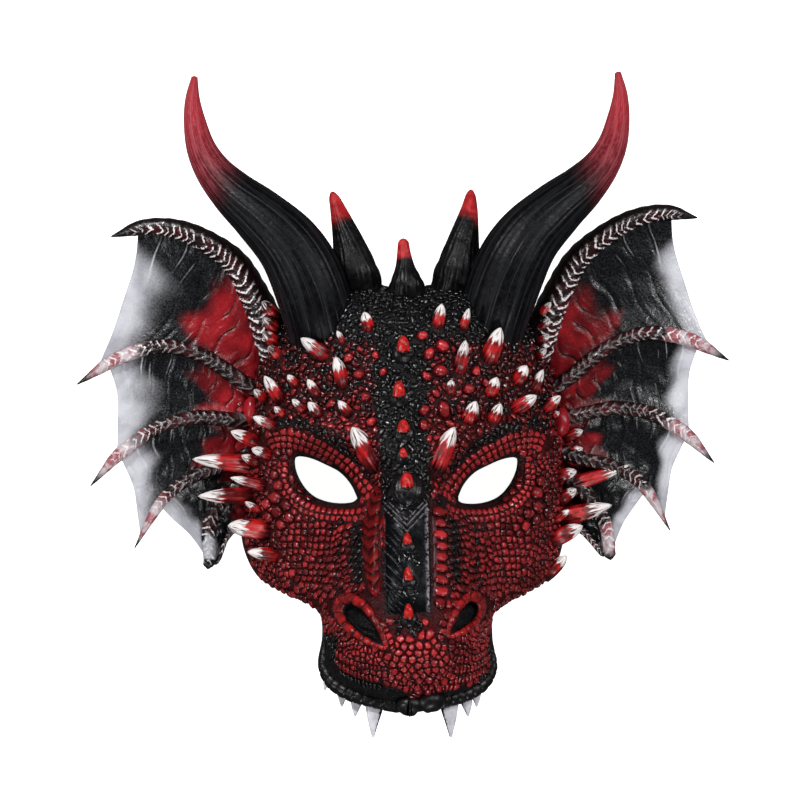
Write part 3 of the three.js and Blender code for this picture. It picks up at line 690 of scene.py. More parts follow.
# Rows of plates on the lids: their line, how far off it, pitch, half size
LID_ROWS = [(UPPER_LID_LINE, offset, 3.3, 1.6) for offset in (-3.1, 0, 3.1)]
LID_ROWS += [(LOWER_LID_LINE[::-1], 0, 2.9, 1.35), (LOWER_LID_LINE[::-1], -2.6, 2.6, 1.35)]
for side in (-1, 1):
    for line, offset, pitch, half in LID_ROWS:
        x, y, way = beside_line(line, offset, pitch)
        free = eye_gap(x, y)[0] > 1.3
        sow(LID, side * x[free], y[free], half, np.where(side > 0, way, math.pi - way)[free])
# Rows of overlapping scales on the ridges beside the nose: x, y from the top, pitch, half size
RIDGE_ROWS = [
    ([(15.4, -56), (16, -66), (16.2, -79), (15.8, -91), (15, -100)], 5.4, 2.5),
    ([(26.4, -58), (28.4, -66), (28, -76), (27, -86), (28.2, -96)], 3.6, 2.1),
    ([(30, -60), (31.6, -67), (31.6, -77), (30.6, -87), (31.4, -95)], 3.6, 1.9),
    ([(-29.4, -64), (-32, -73), (-31.2, -84), (-29, -93), (-27.6, -100)], 3.8, 2.1),
    ([(-33.4, -65), (-35.8, -73), (-34.6, -84), (-32, -93)], 3.8, 1.9),
    ([(-42.6, -74), (-43, -81), (-40.2, -90), (-37.6, -97)], 3.4, 1.8),
    ([(41, -72), (41.4, -80), (38.4, -89), (35.6, -97)], 3.4, 1.8),
]
for points, pitch, half in RIDGE_ROWS:
    x, y, way = beside_line(even_curve(points, np.linspace(0, 1, 40)), 0, pitch)
    sow(RIDGE, x, y, half * random.uniform(0.8, 1.15, len(x)), way)
for points in COMBS:
    x, y, way = beside_line(even_curve(points, np.linspace(0, 1, 40)), 0, COMB_PITCH)
    sow(MUZZLE, x, y, COMB_HALF * random.uniform(0.9, 1.1, len(x)), way + math.pi / 2)
for y_mark, spread in ((-53, 3), (-76.5, 4), (-93.5, 4.5), (-110.5, 5)):
    x, y = random.uniform(-1, 1, 22) * spread, y_mark + random.uniform(-1, 1, 22) * spread * 0.7
    sow(CREST_PEBBLE, x + through(CREST, y), y, 0.8 + 1.0 * random.random(22))
sow(BEAD, *(np.array(BEADS) * [1, 1, 1.25]).T)
sow(BUBBLE, *(np.array(BUBBLES) * [1, 1, 1.3]).T)
sow(BARE, KNOBS[:, 0], KNOBS[:, 1] - 0.35 * KNOBS[:, 3], 0.62 * KNOBS[:, 2])
# Bare places just inside the eye holes, so that no scale reaches over their edges
for side in (-1, 1):
    x, y, way = beside_line(EYE_LINE, 1, 1.5)
    sow(BARE, side * x, y, 0.6)
for share in (0.0, 0.45):
    foot = SPIKES[:, :2] + share * (SPIKES[:, 3:5] - SPIKES[:, :2])
    sow(BARE, foot[:, 0], foot[:, 1], (0.55 - 0.1 * share) * SPIKES[:, 6])

# Where two places crowd each other, the one sown later stays, and drops and their like go first
kind, x, y, size, way = np.concatenate(sown).T
centre, _, out = stand(*spot(x, y))
crowded = np.zeros(len(x), bool)
order = np.arange(len(x)) + len(x) * (kind >= DROP)
for start in range(0, len(x), BATCH):
    part = slice(start, start + BATCH)
    apart = np.linalg.norm(centre[None] - centre[part, None], axis=-1)
    close = apart < CROWDED * (size[None] + size[part, None])
    crowded[part] = (close & (order[None] > order[part, None])).any(1)
crowded &= kind != BARE
kind, x, y, size, way, centre, out = (v[~crowded] for v in (kind, x, y, size, way, centre, out))
ahead = np.stack([np.cos(way), np.sin(way), np.zeros(len(x))], -1)
ahead = unit(ahead - out * (ahead * out).sum(-1, keepdims=True))


def turns(count):
    """Equal turns of a circle, from 0 on."""
    return 2 * np.pi * np.arange(count) / count


def territory(centre, ahead, out, size):
    """Reach of each scale at equal turns: to the line that shares the space between it and each of
    its nearest neighbours, which stands (d d + a a - b b) / 2 d away for centres d apart with half
    sizes a and b, less half a gap."""
    turn, aside = turns(SCALE_SIDES), np.cross(out, ahead)
    reach = np.empty((len(centre), SCALE_SIDES))
    for start in range(0, len(centre), BATCH):
        part = slice(start, start + BATCH)
        offset = centre[None] - centre[part, None]
        squared = (offset**2).sum(-1)
        squared[squared < 1e-6] = np.inf
        near = np.argpartition(squared, NEIGHBOURS, axis=1)[:, :NEIGHBOURS]
        offset = np.take_along_axis(offset, near[..., None], 1)
        forward, sideways = ((offset * axis[part, None]).sum(-1) for axis in (ahead, aside))
        far = np.maximum(np.hypot(forward, sideways), 0.5)
        share = (far**2 + size[part, None] ** 2 - size[near] ** 2) / (2 * far)
        facing = np.cos(turn - np.arctan2(sideways, forward)[..., None])
        limit = np.where(facing > 0.05, share[..., None] / np.maximum(facing, 0.05), np.inf)
        reach[part] = limit.min(1)
    return np.clip(reach - SCALE_GAP / 2, LEAST_REACH, MOST_REACH * size[:, None])


def scale_caps(centre, ahead, out, reach, height, tilt):
    """Low domes. Round each centre, corners stand at equal turns from the way ahead, at their own
    reach, in three rings: one sunk in the ground, a shoulder and a crown. One point tops them, and
    a flat underside closes them. A tilt lifts the end ahead. Gives the corners, the triangles, each
    corner's share of the height, and the number of its scale."""
    count, sides = reach.shape
    turn = turns(sides)
    aside = np.cross(out, ahead)
    spoke = np.cos(turn)[:, None] * ahead[:, None] + np.sin(turn)[:, None] * aside[:, None]
    height, tilt = height[:, None], tilt[:, None]
    parts, shares = [], []
    for near, up in SCALE_RINGS:
        lift = height * (up + tilt * np.cos(turn) * near * (up > 0))
        parts.append(centre[:, None] + (reach * near)[..., None] * spoke + lift[..., None] * out[:, None])
        shares.append(np.full((count, sides), max(up, 0)))
    parts.append((centre + out * height)[:, None])
    shares.append(np.ones((count, 1)))
    here, beyond = np.arange(sides), (np.arange(sides) + 1) % sides
    faces = [np.stack([2 * sides + here, 2 * sides + beyond, np.full(sides, 3 * sides)], -1)]
    for low, high in ((0, sides), (sides, 2 * sides)):
        faces.append(np.stack([low + here, low + beyond, high + beyond], -1))
        faces.append(np.stack([low + here, high + beyond, high + here], -1))
    fan = np.arange(1, sides - 1)
    faces.append(np.stack([0 * fan, fan + 1, fan], -1))
    size = 3 * sides + 1
    faces = (np.concatenate(faces) + np.arange(count)[:, None, None] * size).reshape(-1, 3)
    corners = np.concatenate(parts, 1).reshape(-1, 3)
    return corners, faces, np.concatenate(shares, 1).ravel(), np.repeat(np.arange(count), size)


reach = territory(centre, ahead, out, size)
reach *= 1 - 0.1 * random.random(reach.shape)
# Height of each kind over its half size, its lift at the end ahead, how bright its red is, and how
# much longer than wide it is drawn
STANDS = {
    CHEEK: (0.62, 0.25, 0.35, 0.08), FOREHEAD: (0.75, 0.1, 0.2, 0.28), MUZZLE: (0.8, 0.3, 0.55, 0.1),
    DROP: (0.85, 0.5, 1.05, 0.1), RIDGE: (0.65, 0.6, 0.5, 0), LID: (0.55, 0.1, 1.12, 0),
    CREST_PEBBLE: (0.68, 0.1, 0, 0.42), BEAD: (0.95, 0.1, 0.95, 0.1), BUBBLE: (0.7, 0.1, 0.3, 0),
    BARE: (0.1, 0, 0, 0),
}
table = np.array([STANDS[sort] for sort in range(len(STANDS))])
high, tilt, bright, longer = table[kind.astype(int)].T
lean = random.uniform(0, 2 * np.pi, len(x))[:, None]
reach *= 1 + longer[:, None] * np.cos(2 * (turns(SCALE_SIDES) - lean))
height = high * size * random.uniform(0.8, 1.2, len(x))
tone = np.clip(bright + random.uniform(-0.42, 0.5, len(x)), 0, 1.25)
# Cheek, forehead and muzzle scales take the face's black paint and its painted shade in the hollows; crest
# pebbles are all black, the rest none
ink_and_shade = np.where(kind >= RIDGE, kind == CREST_PEBBLE, ink_and_shade_at(x, y))

paint = Paint("scale_paint", Roughness=0.3, Specular_IOR_Level=0.5)
tone_mark, cloud, wear_and_glint = paint.mark("tone"), paint.noise(240, 4), paint.noise(900, 3)
brush_and_highlight = paint.plus(paint.mark("rise"), paint.swing(cloud, 0.8))
deep = paint.mixed(tone_mark, (0.04, 0.0008, 0.002), (0.2, 0.003, 0.007))
# Lighter at each scale's top: the brushed crimson, and partly a painted highlight
brushed_top_and_highlight = paint.mixed(tone_mark, (0.12, 0.003, 0.004), (0.54, 0.03, 0.034))
red = paint.mixed(paint.fade(brush_and_highlight, 0.6, 1.1), deep, brushed_top_and_highlight)
red = paint.mixed(paint.fade(brush_and_highlight, 0.1, 0.6), (0.008, 0.0005, 0.001), red)
red = paint.mixed(paint.fade(paint.noise(55, 3), 0.6, 0.38, 0, 0.5), red, (0.035, 0.001, 0.002))
black = paint.mixed(paint.fade(wear_and_glint, 0.4, 0.7), (0.0008, 0.0008, 0.001), (0.005, 0.0048, 0.006))
# Black paint and painted shade from the mark, with ragged edges
inked_and_shaded = paint.plus(paint.mark("ink_and_shade"), paint.swing(cloud, 1.3))
colour = paint.mixed(paint.fade(inked_and_shaded, 0.42, 0.62), red, black)
scale_paint = paint.finish(colour, (wear_and_glint, 0.1, 0.25), paint.pored(paint.noise(420, 2), 0.22))

SCALE_PIECES = {
    "cheek_scales": [CHEEK, BUBBLE, RIDGE], "brow_scales": [FOREHEAD, CREST_PEBBLE, BEAD],
    "muzzle_scales": [MUZZLE, DROP], "eyelid_plates": [LID],
}
for name, kinds in SCALE_PIECES.items():
    mine = np.isin(kind, kinds)
    corners, faces, share, owner = scale_caps(
        centre[mine], ahead[mine], out[mine], reach[mine], height[mine], tilt[mine]
    )
    marks = {"rise": share, "tone": tone[mine][owner], "ink_and_shade": ink_and_shade[mine][owner]}
    piece = mesh_piece(name, corners, faces, marks)
    piece.data.materials.append(scale_paint)
    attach(piece, "root")
    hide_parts("mask")

# Stripe and knobs of the snout's ridge. The real stripe is a smooth black band with slanting cuts
# and a raised rim, and a pointed shield at its upper end; it is part of the same pouring.
STRIPE_TOP, STRIPE_FOOT, STRIPE_HALF_WIDTH = -49, -108, 11.2
STRIPE_ROWS, STRIPE_COLUMNS, STRIP_SINK = 230, 75, 1.6
SHIELD_POINT, SHIELD_SLOPE, SHIELD_LINE, SHIELD_LINES = -65, 1.05, 0.42, (0, 3, 5.4)
CUT_PITCH, CUT_SLANT = 4.1, 1.15


def strip(x, y, half_width, columns, closed=False):
    """Plan places of a strip: its middle line, and both ways square to it as far as half its width.
    Gives x, y and the share of the way across, from -1 to 1. A closed line runs round in a ring."""
    run_x, run_y = (np.roll(c, -1) - np.roll(c, 1) if closed else np.gradient(c) for c in (x, y))
    aside = (np.broadcast_to(half_width, x.shape) / np.hypot(run_x, run_y))[:, None]
    share = np.linspace(-1, 1, columns)
    return x[:, None] - aside * run_y[:, None] * share, y[:, None] + aside * run_x[:, None] * share, share


def strip_part(x, y, lift, marks, closed=False, side=1):
    """Corners, faces and marks of a sheet that stands off the skin by a lift, of its back under the
    skin, and of its edges. A side of -1 turns its faces round."""
    place, _, out = stand(*spot(x, y))
    corners = np.concatenate([place + out * lift[..., None], place - out * STRIP_SINK]).reshape(-1, 3)
    number = np.arange(x.size).reshape(x.shape)
    if closed:
        number = np.concatenate([number, number[:1]])
    faces = np.concatenate(thickened(grid_faces(number)[:, ::-1], x.size))[:, ::side]
    marks = {name: np.tile(np.broadcast_to(value, x.shape).ravel(), 2) for name, value in marks.items()}
    return corners, faces, marks


y = np.linspace(STRIPE_TOP, STRIPE_FOOT, STRIPE_ROWS)
ends = (fade(y, STRIPE_TOP, STRIPE_TOP - 3) * fade(y, STRIPE_FOOT, STRIPE_FOOT + 7))[:, None]
x, y, share = strip(through(CREST, y), y, STRIPE_HALF_WIDTH, STRIPE_COLUMNS)
edge = fade(np.abs(share), 1, 0.88) * ends
waver = 0.25 * np.sin(y / 5.1) + 0.2 * np.sin(x / 2.3 + y / 7)
cut = ((y + CUT_SLANT * (share + 1) * STRIPE_HALF_WIDTH) / CUT_PITCH + waver) % 1
slanted = cut**2 * fade(cut, 1, 0.9) * fade(share, 0.1, -0.3) * fade(y, -62, -68)
tip = SHIELD_POINT + SHIELD_SLOPE * np.abs(off_crest(x, y)) - y
lines = sum(bell(-tip - depth, SHIELD_LINE) for depth in SHIELD_LINES) * fade(np.abs(share), 1, 0.9)
rim = bell(share - 0.86, 0.06) * fade(y, -50, -56)
lift = -0.7 + 1.1 * edge + ends * (0.9 * slanted + 0.8 * lines + 0.8 * rim)
lift += 0.06 * np.sin(x / 1.3) * np.sin(y / 1.7) * edge
# Whitish dry brush on the rim, the shield's lines and the raised edges of the slanting cuts; on the cuts it
# is also a painted highlight
frost_highlight_and_shade = np.clip(0.8 * lines + 0.9 * rim + 0.75 * fade(slanted, 0.64, 0.92), 0, 1) * edge
stripe = mesh_piece("snout_stripe", *strip_part(x, y, lift, {"frost_highlight_and_shade": frost_highlight_and_shade}))

paint = Paint("stripe_paint", Roughness=0.35, Specular_IOR_Level=0.11)
speck, cloud = paint.noise(700, 3), paint.noise(160, 3)
black = paint.mixed(paint.fade(cloud, 0.35, 0.7), (0.0015, 0.0022, 0.0026), (0.004, 0.005, 0.0065))
# Whitish where the mark is: dry brush, and on the cuts' raised edges also a painted highlight
brush_and_highlight = paint.times(paint.mark("frost_highlight_and_shade"), paint.fade(speck, 0.38, 0.55))
colour = paint.mixed(brush_and_highlight, black, (0.3, 0.27, 0.3))
stripe.data.materials.append(paint.finish(colour, (speck, 0.2, 0.38), paint.pored(cloud, 0.15)))
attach(stripe, "root")
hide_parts("mask")

# Nose ridges. Long folds run down both sides of the stripe to the nostrils, plated with shingles that overlap
# downwards, poured with the face and painted dark red, reddest at the shingles' raised edges. Each shingle
# darkens towards its foot, under the edge of the one above: painted shade.
# Middle line x, y from the top, half width, height, pitch and slant of the shingles, brightness
NOSE_RIDGES = [
    ([(-13.8, -42), (-17.8, -54), (-19.6, -66), (-19.4, -79), (-18, -90), (-17, -99)],
     4.3, 2.2, 5.6, -0.75, 0.55),
    ([(-12.6, -56), (-13.6, -64), (-13.4, -74)], 1.9, 1.8, 5.5, 0.4, 0.7),
    ([(11, -55), (12, -66), (12.2, -79), (11.8, -91), (11, -99)], 1.6, 1.5, 8, 0.3, 1),
]
RIDGE_STEP, RIDGE_COLUMNS = 0.42, 25


def joined(parts):
    """One set of corners, faces and marks out of several."""
    start = np.cumsum([0] + [len(part[0]) for part in parts])
    faces = np.concatenate([part[1] + first for part, first in zip(parts, start)])
    marks = {name: np.concatenate([part[2][name] for part in parts]) for name in parts[0][2]}
    return np.concatenate([part[0] for part in parts]), faces, marks


def roll_of(share):
    """Height of a half round over its width, from -1 to 1."""
    return np.sqrt(np.maximum(1 - share**2, 0))


parts = []
for line, half_width, high, pitch, slant, bright in NOSE_RIDGES:
    down = np.linspace(0, 1, int(length_along(np.array(line, float))[-1] / RIDGE_STEP))
    middle = even_curve(line, down)
    run = length_along(middle)[:, None]
    swell = half_width * (0.55 + 0.45 * np.sin(np.pi * np.clip(down * 1.05, 0, 1)) ** 0.5)
    x, y, share = strip(middle[:, 0], middle[:, 1], swell, RIDGE_COLUMNS)
    shingle = (run / pitch - slant * np.abs(share) + 0.18 * np.sin(run / 3 + half_width)) % 1
    step = shingle**1.5 * fade(shingle, 1, 0.9)
    crown = roll_of(share) * (fade(down, 0, 0.08) * fade(down, 1, 0.92))[:, None]
    lift = -0.9 + high * crown * (0.8 + 0.3 * step) + 0.05 * np.sin(x * 2.1) * np.sin(y * 1.7)
    parts.append(strip_part(x, y, lift, {"frost_highlight_and_shade": shingle, "bright": bright, "crown": crown}))
ridges = mesh_piece("nose_ridges", *joined(parts))

paint = Paint("ridge_paint", Roughness=0.32, Specular_IOR_Level=0.14)
speck, cloud, bright_mark = paint.noise(800, 3), paint.noise(220, 3), paint.mark("bright")
red = paint.mixed(bright_mark, (0.05, 0.002, 0.002), (0.2, 0.006, 0.01))
red = paint.mixed(paint.fade(cloud, 0.45, 0.7), red, (0.26, 0.01, 0.005))
red = paint.mixed(paint.fade(paint.mark("crown"), 0.2, 0.8), (0.008, 0.001, 0.002), red)
red = paint.mixed(paint.fade(bright_mark, 0.85, 0.95), red, (0.08, 0.03, 0.035))
# Darker towards the foot of each shingle, under the edge of the one above: painted shade
colour = paint.mixed(paint.fade(paint.mark("frost_highlight_and_shade"), 0.75, 0.1), red, (0.02, 0.001, 0.001))
ridges.data.materials.append(paint.finish(colour, (speck, 0.2, 0.38), paint.pored(cloud, 0.25)))
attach(ridges, "root")
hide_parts("mask")

# Nostril rims. A swollen, creased roll of the same foam runs round each nostril, bright red, and
# falls off into the black pit.
RIM_PLACE, RIM_HALF_WIDTH, RIM_HIGH, RIM_CREASES = 1.32, 2.4, 2, 17
RIM_ROWS, RIM_COLUMNS = 150, 25
parts = []
turn = turns(RIM_ROWS)
for side, (mid_x, mid_y, long, wide, lean) in NOSTRILS.items():
    u = long * RIM_PLACE * np.cos(turn)
    v = wide * RIM_PLACE * np.sin(turn) * narrowing(u / long)
    x = side * (mid_x + u * math.cos(lean) - v * math.sin(lean))
    y = mid_y + u * math.sin(lean) + v * math.cos(lean)
    x, y, share = strip(x, y, -side * RIM_HALF_WIDTH * (0.85 + 0.3 * u / long), RIM_COLUMNS, True)
    crease = np.abs(np.sin(RIM_CREASES * turn / 2 + 0.6 * np.sin(3 * turn)))[:, None]
    dip = (1 - np.minimum((crease + 0.12 * np.abs(share)) * 2.2, 1)) ** 1.5
    lumps = 1 + 0.16 * (np.sin(5 * turn + mid_x) * np.sin(2.3 * turn))[:, None]
    lift = -0.9 + RIM_HIGH * lumps * roll_of(share) * (1 - 0.5 * dip)
    parts.append(strip_part(x, y, lift, {"crown": roll_of(share) * (1 - dip)}, True, -side))
rims = mesh_piece("nostril_rims", *joined(parts))

paint = Paint("rim_paint", Roughness=0.3, Specular_IOR_Level=0.4)
speck, cloud = paint.noise(700, 3), paint.noise(200, 3)
red = paint.mixed(paint.fade(cloud, 0.36, 0.64), (0.12, 0.003, 0.004), (0.4, 0.012, 0.013))
colour = paint.mixed(paint.fade(paint.mark("crown"), 0.2, 0.9), (0.012, 0.001, 0.002), red)
rims.data.materials.append(paint.finish(colour, (speck, 0.2, 0.36), paint.pored(cloud, 0.5)))
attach(rims, "root")
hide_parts("mask")

# Upper lip. A thick black roll runs along the edge of the snout, parted into short lengths by
# creases, with two smooth lobes at its middle; part of the same pouring, painted glossy black.
LIP_START, LIP_ROWS, LIP_COLUMNS = 0.77, 520, 32
LIP_RADIUS, LOBE_RADIUS, LIP_SINK = 3.9, 5.7, -0.6
# Distances along the lip, from its middle to the right, of the creases and the lobes' middles
LIP_PARTINGS = np.array([
    -60, -55.5, -51, -46, -41.5, -37, -32.6, -28, -23.4, -18.6, -13.6, -5.6, 5.8, 17, 21, 25, 28.8, 33.4,
    38, 42.6, 47.2, 52, 56.4, 61,
])
LOBES, LOBE_HALF = (0.2, 11.4), 4.8


def swept(line, reach, flat=1.0):
    """Rings square to a line. The reach is given for each point of the line and each equal turn,
    and the rings are flattened up and down by a factor. The ends are drawn into points."""
    ahead = unit(np.gradient(line, axis=-2))
    across = unit(np.cross([0, 0, 1], ahead))
    up = np.cross(ahead, across) * flat
    turn = turns(reach.shape[-1])
    spoke = np.cos(turn)[:, None] * across[..., None, :] + np.sin(turn)[:, None] * up[..., None, :]
    rings = line[..., None, :] + reach[..., None] * spoke
    for end in (0, -1):
        rings[..., end, :, :] = line[..., end, None, :]
    return rings


def round_part(rings, marks, side=1):
    """Corners, faces and marks of closed skins laid over rings of corners, whose first and last
    rings are points. A side of -1 turns their faces round."""
    *sets, rows, columns, _ = rings.shape
    number = np.arange(rows * columns).reshape(rows, columns)
    number[0], number[-1] = number[0, 0], number[-1, 0]
    faces = grid_faces(np.concatenate([number, number[:, :1]], 1))
    faces = faces[(faces != np.roll(faces, 1, axis=1)).all(1)][:, ::side]
    faces = (faces + np.arange(math.prod(sets))[:, None, None] * rows * columns).reshape(-1, 3)
    marks = {name: np.broadcast_to(value, rings.shape[:-1]).ravel() for name, value in marks.items()}
    return rings.reshape(-1, 3), faces, marks


way = np.linspace(-1, 1, LIP_ROWS)
x, y, height = plan(1 - np.abs(way) * (1 - LIP_START), np.where(way < 0, -1, 1))
run_x, run_y = np.gradient(x), np.gradient(y)
length = np.hypot(run_x, run_y)
run = length_along(np.stack([x, y], -1))
run -= np.interp(0, way, run)
lobes = sum(np.exp(-(((run - middle) / LOBE_HALF) ** 4)) for middle in LOBES)
gap = np.min(np.abs(run[:, None] - LIP_PARTINGS), axis=1)
dip = bell(gap, 0.5 + 0.6 * fade(run, -8, -5) * fade(run, 19, 16))[:, None]
radius = (LIP_RADIUS + (LOBE_RADIUS - LIP_RADIUS) * lobes) * (0.25 + 0.75 * fade(np.abs(way), 0.95, 0.5))
x, y = x - (radius - 0.2) * run_y / length, y + (radius - 0.2) * run_x / length
line = np.stack([x, y, rise(x, y, height, spot(x, y)[1]) - LIP_SINK + 3.2 * lobes], -1)
smooth = bell(np.linspace(-2, 2, 41), 1)
line[:, 2] = np.convolve(np.pad(line[:, 2], 20, "edge"), smooth / smooth.sum(), "valid")
uneven = 0.02 * np.sin(2 * turns(LIP_COLUMNS) + run[:, None])
reach = radius[:, None] * (1 - (0.12 + 0.4 * lobes[:, None]) * dip + uneven)
lip = mesh_piece("upper_lip", *round_part(swept(line, reach), {"dip": dip}))

paint = Paint("lip_paint", Roughness=0.36, Specular_IOR_Level=0.3)
speck, cloud = paint.noise(600, 3), paint.noise(160, 3)
black = paint.mixed(paint.fade(cloud, 0.4, 0.7), (0.003, 0.003, 0.0035), (0.009, 0.006, 0.007))
colour = paint.mixed(paint.mark("dip"), black, (0.002, 0.002, 0.002))
lip.data.materials.append(paint.finish(colour, (speck, 0.3, 0.44), paint.pored(cloud, 0.5)))
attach(lip, "root")
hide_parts("mask")

# Crest knobs. Eight pleated black foam domes stand up the middle of the face. From each a pointed
# tip leans up towards the forehead, dipped in glossy scarlet; all are poured with the face.
KNOB_ROWS, KNOB_COLUMNS, KNOB_PLEATS = 26, 44, 11
# How far each dome is below its tip's middle over the tip's length, its height over its half width
DOME_BELOW, DOME_FLAT = 0.42, 0.62
KNOB_TIP, KNOB_LIFT = 0.56, 0.32  # how far the tip leans up and stands out, over its length
x, y, wide, long, body = KNOBS.T
middle, down, out = stand(*spot(x + 0.4, y - DOME_BELOW * long))
share, across = np.linspace(0, 1, KNOB_ROWS)[:, None], np.linspace(1, -1, KNOB_ROWS)[:, None]
pleat = np.abs(np.sin(KNOB_PLEATS * turns(KNOB_COLUMNS) / 2 + 0.5 * np.sin(5 * share)))
line = middle[:, None] + (down * body[:, None] / 2)[:, None] * across
reach = body[:, None, None] / 2 * np.sqrt(1 - across**2) * (0.88 + 0.12 * pleat)
domes = swept(line, reach, DOME_FLAT)
tip = stand(*spot(x, y + KNOB_TIP * long))[0] + [0, 0, 1] * (KNOB_LIFT * long)[:, None]
start = middle + out * (DOME_FLAT * body / 4)[:, None]
line = start[:, None] + (tip - start)[:, None] * share
line[..., 2] += 0.1 * long[:, None] * np.sin(np.pi * share[:, 0])
reach = wide[:, None, None] / 2 * (1 - share**3.2) ** 0.6 * (0.92 + 0.12 * pleat * (1 - share))
rings = np.concatenate([domes, swept(line, reach)])
along = share * (np.arange(len(rings)) >= len(KNOBS))[:, None, None]
knobs = mesh_piece("crest_knobs", *round_part(rings, {"along": along, "pleat": pleat}))

paint = Paint("knob_paint", Roughness=0.22, Specular_IOR_Level=0.3)
streak, speck = paint.noise(520, 3, distortion=0.5), paint.noise(900, 2)
dipped = paint.plus(paint.mark("along"), paint.swing(streak, 0.35), paint.times(paint.mark("pleat"), 0.1))
red = paint.mixed(paint.fade(streak, 0.35, 0.7), (0.3, 0.006, 0.006), (0.62, 0.025, 0.02))
black = paint.mixed(paint.fade(speck, 0.35, 0.7), (0.002, 0.002, 0.003), (0.007, 0.0065, 0.008))
colour = paint.mixed(paint.fade(dipped, 0.16, 0.26), black, red)
gloss = paint.plus(paint.fade(speck, 0.3, 0.7, 0.14, 0.28), paint.fade(dipped, 0.26, 0.16, 0, 0.12))
knobs.data.materials.append(paint.finish(colour, gloss, paint.pored(streak, 0.25)))
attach(knobs, "root")
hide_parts("mask")

# Horns. The real ones are the same foam, poured thick at the temples and drawn out to blunt points.
# Wavy grooves run up them like wood grain, and the outer third is sprayed crimson over satin black. Lighter
# lines along the shoulders of the grooves are painted glints.
HORN = [
    (42, 26, 26, 17), (44.5, 43, 42, 18), (51, 63, 48, 18.4), (60.5, 79.5, 48, 16.8), (75, 94.5, 45, 14.2),
    (88.3, 105.8, 42, 11.6), (97.7, 116.2, 38, 9.5), (104.6, 128.6, 33, 7.6), (108.3, 142.5, 28, 5.8),
    (109.6, 154.4, 24, 3.9), (108.7, 167.2, 20, 1.5),
]
HORN_ROWS, HORN_COLUMNS = 150, 180
HORN_GROOVES, HORN_GROOVE_DEPTH = 26, 0.05
HORN_ASKEW, CROWN_ASKEW, EAR_ASKEW = 2.2, 0.8, 1.0
EAR_SLANT, EAR_ROOT_X, LOW_CLAW_IN = 0.07, 80, 7


def rod(rows, share):
    """Middle line and radius of a rod, from evenly spread rows of x, y, z and radius."""
    table = np.array(rows, float)
    radius = through(np.column_stack([np.linspace(0, 1, len(table)), table[:, 3]]), share)
    return curve_at(table[:, :3], share), radius[:, None]


def placed(points, side, askew=0, slant=0):
    """Right-hand points set a little higher, or mirrored and set a little lower on the left, and
    slanted so that they rise from left to right. The left ear's lowest claw stands further in."""
    x, y = points[..., 0], points[..., 1]
    inward = LOW_CLAW_IN * (side < 0) * fade(y, -50, -82) * fade(x, 84, 104) * fade(x, 128, 114)
    points = (points - inward[..., None] * [1, 0, 0]) * [side, 1, 1]
    points[..., 1] += slant * points[..., 0] + side * (askew - slant * EAR_ROOT_X)
    return points


def grooved(share, turn, grooves, depth, waver, last):
    """Factor on the reach of a horn: sharp grooves between round ridges, which waver along it, with
    finer ones between them, and fade out before the tip."""
    path = turn + waver * (np.sin(5 * share + 1) + 0.4 * np.sin(11 * share + 3 * np.sin(turn)))
    ridge = np.abs(np.sin(grooves * path / 2 + 0.8 * np.sin(2 * path + 3 * share)))
    cut = (1 - np.minimum(ridge * 1.9, 1)) ** 1.5
    uneven = 0.45 + 0.55 * np.sin(5 * path + 7 * share + 1.3) ** 2
    left = 0.3 + 0.7 * fade(share, last, last - 0.35)
    return 1 - depth * cut * uneven * left + 0.35 * depth * (uneven - 0.7)


share, turn = np.linspace(0, 1, HORN_ROWS), turns(HORN_COLUMNS)
line, radius = rod(HORN, share)
share = share[:, None]
flutes = grooved(share, turn, HORN_GROOVES, HORN_GROOVE_DEPTH, 0.1, 1.05)
rings = swept(line, radius * flutes * (1 + 0.012 * np.sin(23 * share + 2 * np.sin(turn + 2))))
marks = {"along": share, "flute": (flutes - 1) / HORN_GROOVE_DEPTH, "outward": np.cos(turn)}
parts = [round_part(placed(rings, side, HORN_ASKEW), marks, side) for side in (-1, 1)]
horns = mesh_piece("horns", *joined(parts))

paint = Paint("horn_paint", Roughness=0.4, Specular_IOR_Level=0.13)
along_mark, flute_mark = paint.mark("along"), paint.mark("flute")
cloud, grain = paint.noise(45, 4), paint.noise(300, 3, distortion=1)
sprayed = paint.plus(along_mark, paint.swing(cloud, 0.12), paint.times(paint.mark("outward"), -0.02))
sprayed = paint.fade(sprayed, 0.46, 0.68)
black = paint.mixed(paint.fade(grain, 0.35, 0.7), (0.001, 0.001, 0.0015), (0.004, 0.0042, 0.005))
red = paint.mixed(paint.fade(along_mark, 0.62, 0.85), (0.15, 0.011, 0.017), (0.37, 0.02, 0.029))
red = paint.mixed(paint.fade(grain, 0.4, 0.75, 0, 0.6), red, (0.38, 0.055, 0.068))
# Painted glints: lighter lines along the shoulders of the grooves, grey on the black and pink on the red
painted_glint_lines = paint.times(paint.fade(flute_mark, -0.03, -0.12), paint.fade(flute_mark, -0.4, -0.2), 0.8)
wear_and_glint = paint.mixed(sprayed, (0.016, 0.017, 0.02), (0.4, 0.08, 0.1))
colour = paint.mixed(painted_glint_lines, paint.mixed(sprayed, black, red), wear_and_glint)
colour = paint.mixed(paint.fade(flute_mark, -0.25, -0.7), colour, (0.002, 0.0015, 0.002))
horns.data.materials.append(paint.finish(colour, (grain, 0.34, 0.48), paint.pored(grain, 0.3, 1300)))
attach(horns, "root")
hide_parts("mask")

